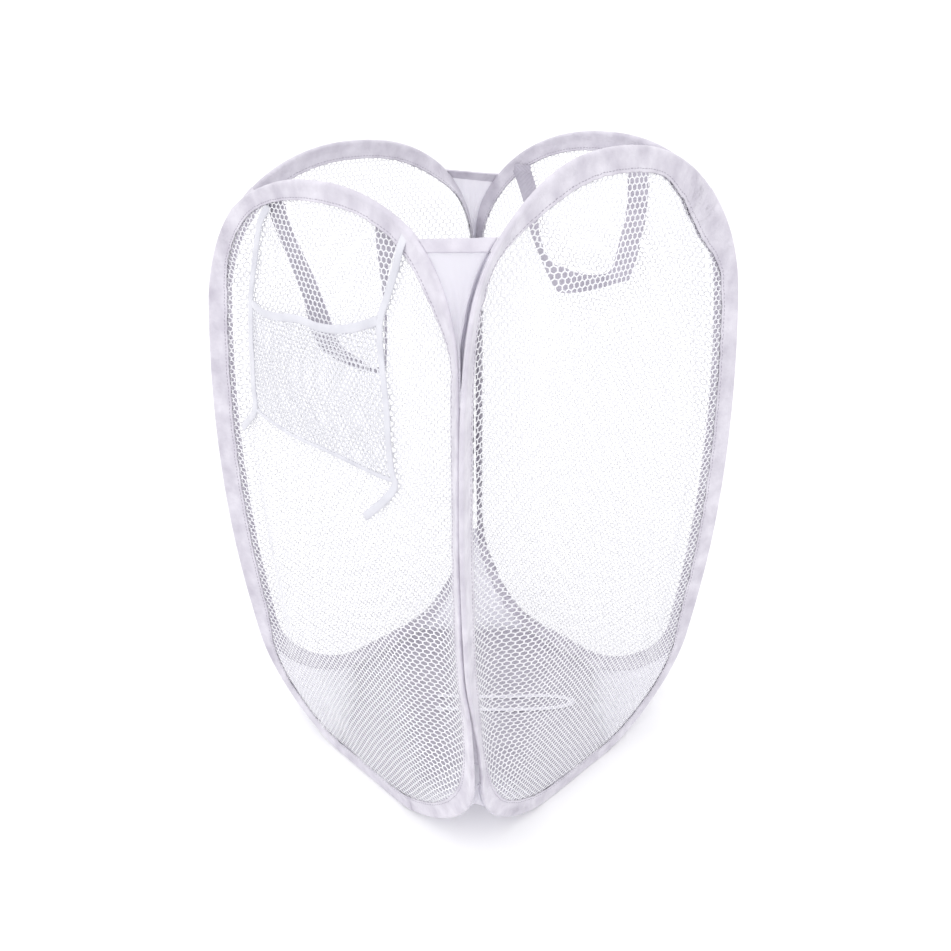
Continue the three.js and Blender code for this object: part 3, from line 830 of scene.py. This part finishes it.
def seam(panel):
    """The row of stitches along both faces of a sleeve, in its groove."""
    starts = np.arange(0, EDGE_LENGTH - STITCH_PITCH, STITCH_PITCH)
    inward = SLEEVE_WIDTH - SEAM_INSET
    first, last, outward = [], [], []
    for side in (1, -1):
        a = sleeve_point(panel, starts, inward, side)
        b = sleeve_point(panel, starts + STITCH_LENGTH, inward, side)
        c = sleeve_point(panel, starts, inward, -side)
        first.append(a)
        last.append(b)
        outward.append((a - c) / np.linalg.norm(a - c, axis=1, keepdims=True))
    made = stitches(
        f"{panel}_sleeve_stitching", *(np.concatenate(v) for v in (first, last, outward))
    )
    return finish_piece(made, thread_finish, f"{panel}_panel", (), panel, False)


WIRE_DEPTH = 2.7 * MM
WIRE_WIDTH = 2.6 * MM
WIRE_THICKNESS = 0.8 * MM
WIRE_GAP = 1.5 * MM
WIRE_POINTS = 420
FERRULE_LENGTH = 26 * MM
FERRULE_WALL = 0.5 * MM
FERRULE_POINTS = 14


def wire(panel):
    """Flat spring steel strip in the sleeve, its ends nearly meeting at the bottom's middle, in a
    crimped ferrule."""
    s = np.linspace(WIRE_GAP / 2, EDGE_LENGTH - WIRE_GAP / 2, WIRE_POINTS)
    across, up, in_across, in_up = along(s)
    at = (across + in_across * WIRE_DEPTH, up + in_up * WIRE_DEPTH)
    path = place(panel, at[0], 0, at[1])
    wide = place(panel, at[0], MM, at[1]) - path
    made = tube(f"{panel}_spring_wire", path, wide, WIRE_WIDTH / 2, WIRE_THICKNESS / 2, sides=8)
    body = f"{panel}_panel"
    finish_piece(made, spring_steel, body, [f"{panel}_hoop_wire"], panel)
    s = np.linspace(-FERRULE_LENGTH / 2, FERRULE_LENGTH / 2, FERRULE_POINTS)
    across, up, in_across, in_up = along(s)
    path = place(panel, across, 0, up + WIRE_DEPTH)
    wide = place(panel, across, MM, up + WIRE_DEPTH) - path
    half_width, half_height = WIRE_WIDTH / 2 + FERRULE_WALL, WIRE_THICKNESS / 2 + FERRULE_WALL
    crimp = tube(f"{panel}_ferrule", path, wide, half_width, half_height)
    finish_piece(crimp, spring_steel, body, [f"{panel}_wire_ferrule"], panel)


NET_OUTLINE_POINTS = 240
NET_SEED = 60
SLACK = 1.6 * MM  # how far the net waves out and in
SLACK_LENGTHS = (60 * MM, 180 * MM)
SLACK_REACH = 40 * MM  # from the sleeve to where it is whole
DRIFT = 1.2 * MM  # how far its rows wander along the panel
DRIFT_LENGTHS = (50 * MM, 160 * MM)


def panel_netting(panel):
    """The net of a panel, its edge gripped between the sleeve's plies, with a little slack."""
    s = np.linspace(0, EDGE_LENGTH, NET_OUTLINE_POINTS, endpoint=False)
    across, up, in_across, in_up = along(s)
    outline = np.stack([across + in_across * NET_TUCK, up + in_up * NET_TUCK], -1)
    seed = NET_SEED + PANELS.index(panel) * 4

    def slack(x, y, layer):
        free = smooth((HOOP - SLEEVE_WIDTH - np.abs(x)) / SLACK_REACH)
        out = waves(seed, x + 0.4 * y, *SLACK_LENGTHS) * SLACK * free
        x = x + waves(seed + 1, y, *DRIFT_LENGTHS) * DRIFT
        return place(panel, x, out + layer, y)

    made = netting(f"{panel}_netting", outline, PANEL_CELL, PANEL_ROW, PANEL_STRAND, slack)
    finish_piece(made, panel_net, f"{panel}_panel", [f"{panel}_net"], panel, False)
    return made


for panel in PANELS:
    made = sleeve(panel)
    seam(panel)
    wire(panel)
    net = panel_netting(panel)


# Gussets, base and closing loop

TOP_GUSSET_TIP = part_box("front_right_top_gusset")[0][2]
HEM_OVER = 14 * MM  # how far the hem's middle stands over the frame's gusset
TOP_GUSSET_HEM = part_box("front_right_top_gusset")[1][2] + HEM_OVER
BOTTOM_GUSSET_FOOT = 1.5 * MM
HEM = 8 * MM
HEM_ROWS = 8
GUSSET_PLY = 0.7 * MM
HEM_PLIES = 2.4
WEAVE_WIDTH = 60 * MM  # of the cloth's own map from hoop to hoop
FOLDS = {"top": 2.5 * MM, "bottom": 3.5 * MM}  # depth of the soft upright folds
FOLD_LENGTHS = (14 * MM, 40 * MM)
# The near gusset is folded: by height, the share of its width before the fold, and the fold's depth
FOLD_AT_SHARE = 0.6  # of the cloth, before the fold
FOLD_START = 15 * MM  # over this height it opens out from the tip
FOLD_HEIGHTS = np.array([466, 505, 520, 540, 560, 580]) * MM
FOLD_SHARES = [0.05, 0.2, 0.6, 0.8, 0.9, 0.97]
FOLD_DEPTHS = np.array([3, 14, 19, 18, 10, 2]) * MM
# How much higher than elsewhere a top gusset's hem stands at its first and its second hoop
HEM_RISE = {"front_right": (2 * MM, -11 * MM), "back_left": (-12 * MM, 0)}


def corner_surface(corner, up, t, sag, folds, seed):
    """A sheet between the edges of two hoops: straight across at each height, drawn in towards the
    middle of the hamper by sag, a share of its span, at its centre line, and rippled by upright
    folds. At the near corner it has a deep fold of its own."""
    a, b = CORNERS[corner]
    rise = smooth((up - TOP_GUSSET_TIP) / (TOP_GUSSET_HEM - TOP_GUSSET_TIP))
    first_up, last_up = (up + rise * step for step in HEM_RISE.get(corner, (0, 0)))
    first = place(a, edge_across(first_up), 0, first_up)
    last = place(b, -edge_across(last_up), 0, last_up)
    arch = 4 * t * (1 - t)
    deep = arch * folds * waves(seed, t * WEAVE_WIDTH + up * 0.2, *FOLD_LENGTHS, 5)
    if corner == "front_right":
        at = FOLD_AT_SHARE
        share = np.interp(up, FOLD_HEIGHTS, FOLD_SHARES)
        in_fold = np.clip((t - at) / (1 - at), 0, 1)
        folded = smooth((up - TOP_GUSSET_TIP) / FOLD_START)
        deep = deep + folded * np.sin(np.pi * in_fold) * np.interp(up, FOLD_HEIGHTS, FOLD_DEPTHS)
        spread = np.where(t < at, share * t / at, share + (1 - share) * in_fold)
        t = t + folded * (spread - t)
    t = t[..., None]
    middle = first + (last - first) * t
    span = np.linalg.norm(last - first, axis=-1)
    inward = -np.sign(middle[..., :2])
    inward = np.concatenate([inward, np.zeros_like(inward[..., :1])], -1) / math.sqrt(2)
    return middle + inward * (arch * sag * span + deep)[..., None]


def gusset_pieces(corner, name, low, high, sag, folds, seed, rows=64, columns=40):
    """One gusset as a closed sheet, or as two halves at the open corner and at the floor."""
    whole = corner != "back_right" and name != "bottom_gusset_cloth"
    halves = [(0, 1)] if whole else [(0, 0.5), (0.5, 1)]
    made = []
    for number, (start, end) in enumerate(halves):
        up, t = np.linspace(low, high, rows), np.linspace(start, end, columns)
        up, t = np.meshgrid(up, t, indexing="ij")
        points = corner_surface(corner, up, t, sag, folds, seed)
        cloth = np.stack([t * WEAVE_WIDTH, up], -1)
        piece_name = f"{corner}_{name}" + (f"_half_{number + 1}" if len(halves) > 1 else "")
        thickness = GUSSET_PLY if name != "top_gusset_hem" else HEM_PLIES * GUSSET_PLY
        made.append(cloth_sheet(piece_name, points, thickness, cloth))
    return made


def join_corner(corner, pieces, material, node):
    """Sets a corner's cloth: each half rides on its own panel, or the whole sheet keeps its place, its
    transform baked in.
    """
    a, b = (f"{panel}_panel" for panel in CORNERS[corner])
    for number, piece in enumerate(pieces):
        if len(pieces) > 1:
            flattens = CORNERS[corner][number]
            body = (a, b)[number]
            finish_piece(piece, material, body, [node], flattens, shade=False)
            continue
        finish_piece(piece, material, None, [node], shade=False)
        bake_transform(piece)


# How far a gusset is drawn in at its middle, as a share of its span
TOP_SAG = {"front_right": 0.03, "back_right": 0.12, "back_left": 0.05, "front_left": 0.12}
BOTTOM_SAG = {"front_right": 0.4, "back_right": 0.12, "back_left": 0.08, "front_left": 0.12}
TOP_SEED = 80
BOTTOM_SEED = 90


def gussets(corner, number):
    """A corner's top gusset, its hem and its bottom gusset."""
    low, high, sag = TOP_GUSSET_TIP, TOP_GUSSET_HEM, TOP_SAG[corner]
    seed = TOP_SEED + number
    pieces = gusset_pieces(corner, "top_gusset_cloth", low, high, sag, FOLDS["top"], seed)
    join_corner(corner, pieces, gusset_cloth, f"{corner}_top_gusset")
    low, high = TOP_GUSSET_HEM - HEM / 2, TOP_GUSSET_HEM + HEM / 2
    pieces = gusset_pieces(corner, "top_gusset_hem", low, high, sag, FOLDS["top"], seed, HEM_ROWS)
    join_corner(corner, pieces, binding_cloth, f"{corner}_gusset_hem")
    low, high, sag = BOTTOM_GUSSET_FOOT, FOOT_HEIGHT, BOTTOM_SAG[corner]
    seed = BOTTOM_SEED + number
    pieces = gusset_pieces(corner, "bottom_gusset_cloth", low, high, sag, FOLDS["bottom"], seed)
    node = f"{corner}_bottom_gusset"
    join_corner(corner, pieces, gusset_cloth, node)


for number, corner in enumerate(CORNERS):
    gussets(corner, number)


BASE_PLY = 1 * MM
BASE_EDGE = FOOT - 4.2 * MM
CREASE = 64 * MM  # from the diagonal to the second fold line
CREASE_RISES = (1.6 * MM, 2 * MM)  # of the diagonal's fold line and of the second
CREASE_REACHES = (5 * MM, 6 * MM)
RUMPLE_LOW = 1.2 * MM
RUMPLE = 2.6 * MM
RUMPLE_SEEDS = (100, 101)
RUMPLE_LENGTHS = ((35 * MM, 120 * MM), (40 * MM, 150 * MM))
RUMPLE_EDGE = 30 * MM  # from the base's edge to where its rumples are whole
BASE_COLUMNS = 120
BASE_ROWS = 50
INNER_PLANE = FOOT - 3.5 * MM  # a panel's fold anchor is clipped to within this
BASE_CUT_UP = 2 * MM  # the height at which the hoops' rounded feet cut off the base's corners


def base_height(x, y):
    """The base cloth's rise over the floor: two fold lines along the diagonal, and soft rumples."""
    off = (y - x) / math.sqrt(2)
    first, second = CREASE_RISES
    fold = first * np.exp(-np.abs(off) / CREASE_REACHES[0])
    fold = fold + second * np.exp(-np.abs(off - CREASE) / CREASE_REACHES[1])
    rumple = 1
    for seed, way, lengths in zip(RUMPLE_SEEDS, (x + 0.6 * y, y - 0.3 * x), RUMPLE_LENGTHS):
        rumple = rumple * waves(seed, way, *lengths)
    edge = smooth((BASE_EDGE - np.maximum(np.abs(x), np.abs(y))) / RUMPLE_EDGE)
    return BASE_PLY / 2 + fold * edge + (RUMPLE_LOW + RUMPLE * np.abs(rumple)) * edge


def base_quarter(panel):
    """A quarter of the base, from the two diagonals to a panel's foot: straight runs from points of
    the diagonals to points of the border, whose corners are cut off under the gussets."""
    end = BASE_EDGE
    cut = float(edge_across(BASE_CUT_UP))
    corner = (end + cut) / 2
    tip = corner - MM
    border = np.array([(-corner, -corner), (-cut, -end), (cut, -end), (corner, -corner)])
    border = evenly(border, BASE_COLUMNS)
    inner = evenly(np.array([(-tip, -tip), (0, 0), (tip, -tip)]), BASE_COLUMNS)
    w = np.linspace(0, 1, BASE_ROWS)[None, :, None]
    flat = inner[:, None] * (1 - w) + border[:, None] * w
    for _ in range(PANELS.index(panel)):
        flat = np.stack([-flat[..., 1], flat[..., 0]], -1)
    points = np.concatenate([flat, base_height(flat[..., 0], flat[..., 1])[..., None]], -1)
    made = cloth_sheet(f"base_{panel}_quarter", points, BASE_PLY, flat)
    finish_piece(made, base_cloth, None, ["base_panel"], shade=False)
    joint, axis, anchor = FLATTENS[panel]
    anchor = tuple(float(np.clip(value, -INNER_PLANE, INNER_PLANE)) for value in anchor)
    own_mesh(made)
    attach(made, f"{panel}_panel")


for panel in PANELS:
    base_quarter(panel)


LOOP_LENGTH = 158 * MM
LOOP_WIDTH = 22 * MM
LOOP_START = -42 * MM  # its two ends lie this far before the base's middle
LOOP_SHARES = [(0, -0.55), (0.45, -0.6), (0.85, -0.45), (1, 0), (0.86, 0.5), (0.4, 0.42), (0, 0.5)]
LOOP_POINTS = 150
ELASTIC_WIDTH = 6 * MM
ELASTIC_THICKNESS = 1.2 * MM


def closing_loop():
    """Elastic lying on the base: out to a point towards the back right corner and back."""
    shape = np.array(LOOP_SHARES) * (LOOP_LENGTH, LOOP_WIDTH) + (LOOP_START, 0)
    line = curve_through(shape, LOOP_POINTS)
    turn = math.radians(45)
    x = line[:, 0] * math.cos(turn) - line[:, 1] * math.sin(turn)
    y = line[:, 0] * math.sin(turn) + line[:, 1] * math.cos(turn)
    z = base_height(x, y) + BASE_PLY + ELASTIC_THICKNESS / 2
    path = np.stack([x, y, z], -1)
    forward = np.gradient(path, axis=0)
    wide = np.cross(forward, (0, 0, 1))
    made = tube("closing_loop_elastic", path, wide, ELASTIC_WIDTH / 2, ELASTIC_THICKNESS / 2)
    finish_piece(made, elastic_finish, None, ["closing_loop"])
    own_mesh(made)
    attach(made, "front_panel")


closing_loop()

# Handles

WEB = 22 * MM
WEB_THICKNESS = 1.5 * MM
(swing,) = (joint for joint in frame["joints"] if joint["name"] == "front_handle_swing")
HINGE_UP = float(swing["pos_m"][2])
HANDLE_IN = 4.1 * MM  # from the hoop's plane to the middle of the webbing
TAB_IN = 3.7 * MM  # and to the middle of its sewn ends
TAB_WAVE = 0.15 * MM
TAB_SEED = 130
TAB_LENGTHS = (6 * MM, 20 * MM)
TAB_LOW = -0.2 * MM  # its foot, from the hinge's line
TAB_LEAST = 4 * MM  # the least that its top stands over that line
TAB_UNDER = 5 * MM  # how far its top stays under the arch's edge
TAB_SHIFT = 7 * MM  # how far the arch leans aside at a tab
WEBBING_ROWS = 150
WEBBING_COLUMNS = 12
TAB_ROWS = 30
# Outer and inner edges of the webbing, on the front and then the back, as places across and inward
# from the hinge's line and up from it
HANDLES = {
    "front": (
        [
            (-67, 0, 0), (-64, 0.6, -12), (-56, 3, -32), (-42, 7, -66), (-36, 11, -100),
            (-30, 15, -116), (-8, 19, -123), (26, 20, -125), (52, 16, -114), (62, 11, -80),
            (74, 5, -40), (92, 0.6, -12), (94, 0, 0),
        ],
        [
            (-42, 0, 0), (-40, 0.6, -12), (-31, 3, -32), (-12, 7, -68), (-4, 11, -98),
            (2, 14, -109), (14, 20, -116), (30, 21, -120), (44, 22, -112), (58, 15, -78),
            (66, 6, -38), (70, 0.6, -12), (72, 0, 0),
        ],
    ),
    "back": (
        [
            (-69, 0, 0), (-69, -1.4, -6), (-69, -1.4, -28), (-69, 2.6, -46), (-68, 9, -74),
            (-65, 12, -88), (-55, 14, -92), (-22, 12, -105), (16, 12, -114), (28, 10, -112),
            (44, 8, -96), (70, 4, -62), (87, -1, -32), (96, -1.2, -14), (103, 0, 0),
        ],
        [
            (-46, 0, 0), (-46.5, -1.4, -6), (-46.5, -1.4, -28), (-46, 2.6, -46), (-44.5, 9, -72),
            (-42, 12.5, -83), (-34, 15, -87), (-18, 15, -90), (6, 13, -90), (16, 12, -88),
            (36, 12, -84), (56, 9, -60), (66, -0.6, -34), (72, -1.2, -14), (78, 0, 0),
        ],
    ),
}


def handle(panel):
    """Webbing as a band between its two edges, each a smooth line through a few points."""
    outer, inner = (curve_through(np.array(edge) * MM, WEBBING_ROWS) for edge in HANDLES[panel])
    w = np.linspace(0, 1, WEBBING_COLUMNS)[None, :, None]
    band = outer[:, None] * (1 - w) + inner[:, None] * w
    up = HINGE_UP + band[..., 2]
    flat = np.stack([band[..., 0], -(FOOT + TOP_BULGE - HANDLE_IN - band[..., 1]), up], -1)
    if panel == "back":
        flat[..., :2] *= -1
    run = np.append(0, np.cumsum(np.linalg.norm(np.diff(outer, axis=0), axis=1)))
    cloth = np.stack(np.broadcast_arrays(run[:, None], w[..., 0] * WEB), -1)
    made = cloth_sheet(f"{panel}_handle_webbing", flat, WEB_THICKNESS, cloth)
    finish_piece(made, webbing_finish, f"{panel}_handle", [f"{panel}_handle"])
    return [(edge[0], edge[-1]) for edge in (outer, inner)]


def handle_end(panel, side, first, last):
    """The sewn end: webbing from the hinge line up the sleeve's inner face to under its edge."""
    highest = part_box(f"{panel}_handle_{side}_end")[1][2]
    centre = (first[0] + last[0]) / 2
    reach = np.abs(centre - LEAN[panel] * TAB_SHIFT) + WEB / 2
    quarter = slice(len(EDGE[0]) // 4, len(EDGE[0]) // 2)
    arch = np.interp(-reach, -EDGE[1][quarter], EDGE[2][quarter])
    top = min(highest, arch - drooped(panel, arch) - TAB_UNDER) - HINGE_UP
    up = np.linspace(TAB_LOW, max(top, TAB_LEAST), TAB_ROWS)
    w = np.linspace(-0.5, 0.5, WEBBING_COLUMNS)
    across = centre + w[None, :] * WEB + 0 * up[:, None]
    inward = TAB_IN + TAB_WAVE * waves(TAB_SEED, up, *TAB_LENGTHS)[:, None] + 0 * across
    flat = np.stack([across, -(FOOT + TOP_BULGE - inward), HINGE_UP + up[:, None] + 0 * across], -1)
    if panel == "back":
        flat[..., :2] *= -1
    cloth = np.stack(np.broadcast_arrays(up[:, None], w[None] * WEB), -1)
    made = cloth_sheet(f"{panel}_handle_{side}_tab", flat, WEB_THICKNESS, cloth)
    finish_piece(made, webbing_finish, f"{panel}_panel", [f"{panel}_handle_{side}_end"])


for panel in ("front", "back"):
    (outer_first, outer_last), (inner_first, inner_last) = handle(panel)
    handle_end(panel, "left", outer_first, inner_first)
    handle_end(panel, "right", inner_last, outer_last)

# Pocket

# Places on the front panel as they stand, across and up
POCKET_LEFT = [
    (-59, 566), (-68, 553), (-82, 524), (-91, 495), (-94, 455), (-94, 417), (-95, 389),
    (-107, 374), (-127, 355),
]
POCKET_RIGHT = [
    (109, 566), (102, 545), (90, 520), (82, 500), (85, 474), (91, 445), (97, 393),
    (102, 378), (88, 362), (63, 340),
]
POCKET_MOUTH = [(-91, 483), (-60, 480), (-14, 485), (13, 484), (45, 488), (80, 500)]
POCKET_BOTTOM = [(-95, 388), (-35, 383), (24, 384), (98, 381)]
# Each tape's line and its number of points
POCKET_TAPES = {
    "mouth": (POCKET_MOUTH, 90),
    "left": (POCKET_LEFT, 130),
    "right": (POCKET_RIGHT, 150),
    "bottom": (POCKET_BOTTOM, 80),
}
NET_SIDE = slice(3, 7)  # a side's places that bound the net, from its mouth to its bottom
POCKET_HALF = 92 * MM  # from its middle to its sides
POCKET_FOOT = 380 * MM
POCKET_TALL = 125 * MM
POCKET_GAP = 2.2 * MM  # off the panel's net at its sides
POCKET_SWELL = 7 * MM
POCKET_FOOT_SHARE = 0.4  # of the swell at its foot and its mouth
POCKET_WAVE = 1.2 * MM  # how far the net and its tapes wave
POCKET_SEED = 140
POCKET_LENGTHS = (25 * MM, 80 * MM)
TAPE = 7 * MM
TAPE_THICKNESS = 1.6 * MM
TAPE_TUCK_FROM = 565 * MM  # a side tape's top goes in under the sleeve
TAPE_TUCK = 14 * MM
TAPE_LIFT = 0.3 * MM
TAPE_OUT = 3.3 * MM  # how much further out it lies below that
TAPE_SEED = 150
TAPE_LENGTHS = (40 * MM, 90 * MM)
MOUTH_LIFT = 0.4 * MM


def on_front(across, out, up):
    """A place on the front panel, given as it stands: the point before it was bowed and lowered is
    found first. Where the net sways or is turned in, the point shifts aside by as much."""
    droop = DROOP["front"]
    before = np.where(up > HEIGHT / 2, (up - droop) / (1 - 2 * droop / HEIGHT), up)
    lean = upright_bulge(before) - bulge(before)
    flat = (across - lean) / widened(before)
    x = flat
    for _ in range(3):
        x = flat - sway("front", x, before) - turned_in("front", x, before)
    return place("front", x, out, before)


def pocket_out(across, up):
    """How far the pocket's net stands off the panel's: most in its middle, held at its sides."""
    wide = 1 - np.clip(np.abs(across) / POCKET_HALF, 0, 1) ** 2
    arch = np.sin(np.pi * np.clip((up - POCKET_FOOT) / POCKET_TALL, 0, 1))
    tall = arch * (1 - POCKET_FOOT_SHARE) + POCKET_FOOT_SHARE
    return POCKET_GAP + POCKET_SWELL * wide * tall


def pocket():
    """The pocket's net with its mouth, sides and bottom bound in tape, the ends hanging loose."""
    lines = {
        side: curve_through(np.array(line) * MM, count)
        for side, (line, count) in POCKET_TAPES.items()
    }
    left, right = (np.array(side[NET_SIDE]) * MM for side in (POCKET_LEFT, POCKET_RIGHT))
    outline = np.concatenate([lines["bottom"], right[::-1], lines["mouth"][::-1], left])

    def stand_off(x, y, layer):
        out = waves(POCKET_SEED, x + 0.5 * y, *POCKET_LENGTHS) * POCKET_WAVE
        return on_front(x, pocket_out(x, y) + out + layer, y)

    made = netting("pocket_netting", outline, POCKET_CELL, POCKET_ROW, POCKET_STRAND, stand_off)
    finish_piece(made, pocket_net_finish, "front_panel", ["pocket_net"], "front", False)
    for side, line in lines.items():
        x, y = line.T
        if side in ("left", "right"):
            clear = smooth((TAPE_TUCK_FROM - y) / TAPE_TUCK)
            wave = POCKET_WAVE * waves(TAPE_SEED, y, *TAPE_LENGTHS)
            out = TAPE_LIFT + TAPE_OUT * clear + wave
        else:
            out = pocket_out(x, y) + (MOUTH_LIFT if side == "mouth" else 0)
        path = on_front(x, out, y)
        forward = np.gradient(path, axis=0)
        wide = np.cross(forward, (0, -1, 0))
        half = TAPE / 2 if side != "bottom" else TAPE / 4
        tape = tube(f"pocket_{side}_tape", path, wide, half, TAPE_THICKNESS / 2, sides=12)
        node = f"pocket_{side}_binding"
        finish_piece(tape, pocket_tape, "front_panel", [node], "front")


pocket()

# Floor, light and camera

FLOOR_HALF = 12.0
FLOOR_PATCH = 0.8
WORLD_STRENGTH = 1.25
KEY_PLACE = (0.8, -1.2, 1.9)
KEY_SIZE = 0.9
KEY_POWER = 6
SUN_STRENGTH = 0.3
SUN_SPREAD = math.radians(50)
SUN_TURN = (math.radians(25), math.radians(-20), 0)


def floor():
    """A plain pale floor, large enough to fill the view."""
    corners = np.array([(-1, -1, 0), (1, -1, 0), (1, 1, 0), (-1, 1, 0)])
    points = corners * (FLOOR_HALF, FLOOR_HALF, 1)
    made = new_mesh("floor", points, [[0, 1, 2, 3]])
    paint, tree, shader = surface_of("matt white floor", 0.9)
    tinted(tree, shader, "#F4F4F5", "#F2F2F3", FLOOR_PATCH)
    made.data.materials.append(paint)


def soft_box(name, at, size, power):
    """A square studio light that looks at the hamper's middle."""
    data = bpy.data.lights.new(name, "AREA")
    data.energy, data.size = power, size
    made = bpy.data.objects.new(name, data)
    made.location = at
    made.rotation_euler = (Vector((0, 0, HEIGHT / 2)) - Vector(at)).to_track_quat("-Z", "Y").to_euler()
    bpy.context.collection.objects.link(made)


def studio():
    """A white surround, a soft key light from above the near corner and a weak one overhead."""
    world = bpy.data.worlds.new("studio")
    world.use_nodes = True
    background = world.node_tree.nodes["Background"]
    background.inputs["Color"].default_value = (1, 1, 1, 1)
    background.inputs["Strength"].default_value = WORLD_STRENGTH
    bpy.context.scene.world = world
    soft_box("key_light", KEY_PLACE, KEY_SIZE, KEY_POWER)
    sun = bpy.data.lights.new("overhead_light", "SUN")
    sun.energy, sun.angle = SUN_STRENGTH, SUN_SPREAD
    made = bpy.data.objects.new("overhead_light", sun)
    made.rotation_euler = SUN_TURN
    bpy.context.collection.objects.link(made)


EYE = (551.0 * MM, -538.4 * MM, 653.4 * MM)
AIM = (-11.0 * MM, 15.9 * MM, 249.7 * MM)
FOCAL_PIXELS = 837.1
PICTURE_PIXELS = 951
CENTRE_PIXEL = (476.1, 507.6)


def camera():
    """The view of the photograph: its focal length and middle are given in pixels."""
    data = bpy.data.cameras.new("view")
    data.sensor_width = 36
    data.lens = data.sensor_width * FOCAL_PIXELS / PICTURE_PIXELS
    data.shift_x = (PICTURE_PIXELS / 2 - CENTRE_PIXEL[0]) / PICTURE_PIXELS
    data.shift_y = (CENTRE_PIXEL[1] - PICTURE_PIXELS / 2) / PICTURE_PIXELS
    data.clip_start = 0.01
    made = bpy.data.objects.new("view", data)
    made.location = EYE
    made.rotation_euler = (Vector(AIM) - Vector(EYE)).to_track_quat("-Z", "Y").to_euler()
    bpy.context.collection.objects.link(made)
    bpy.context.scene.camera = made


floor()
studio()
camera()
bpy.context.scene.view_settings.view_transform = "Standard"
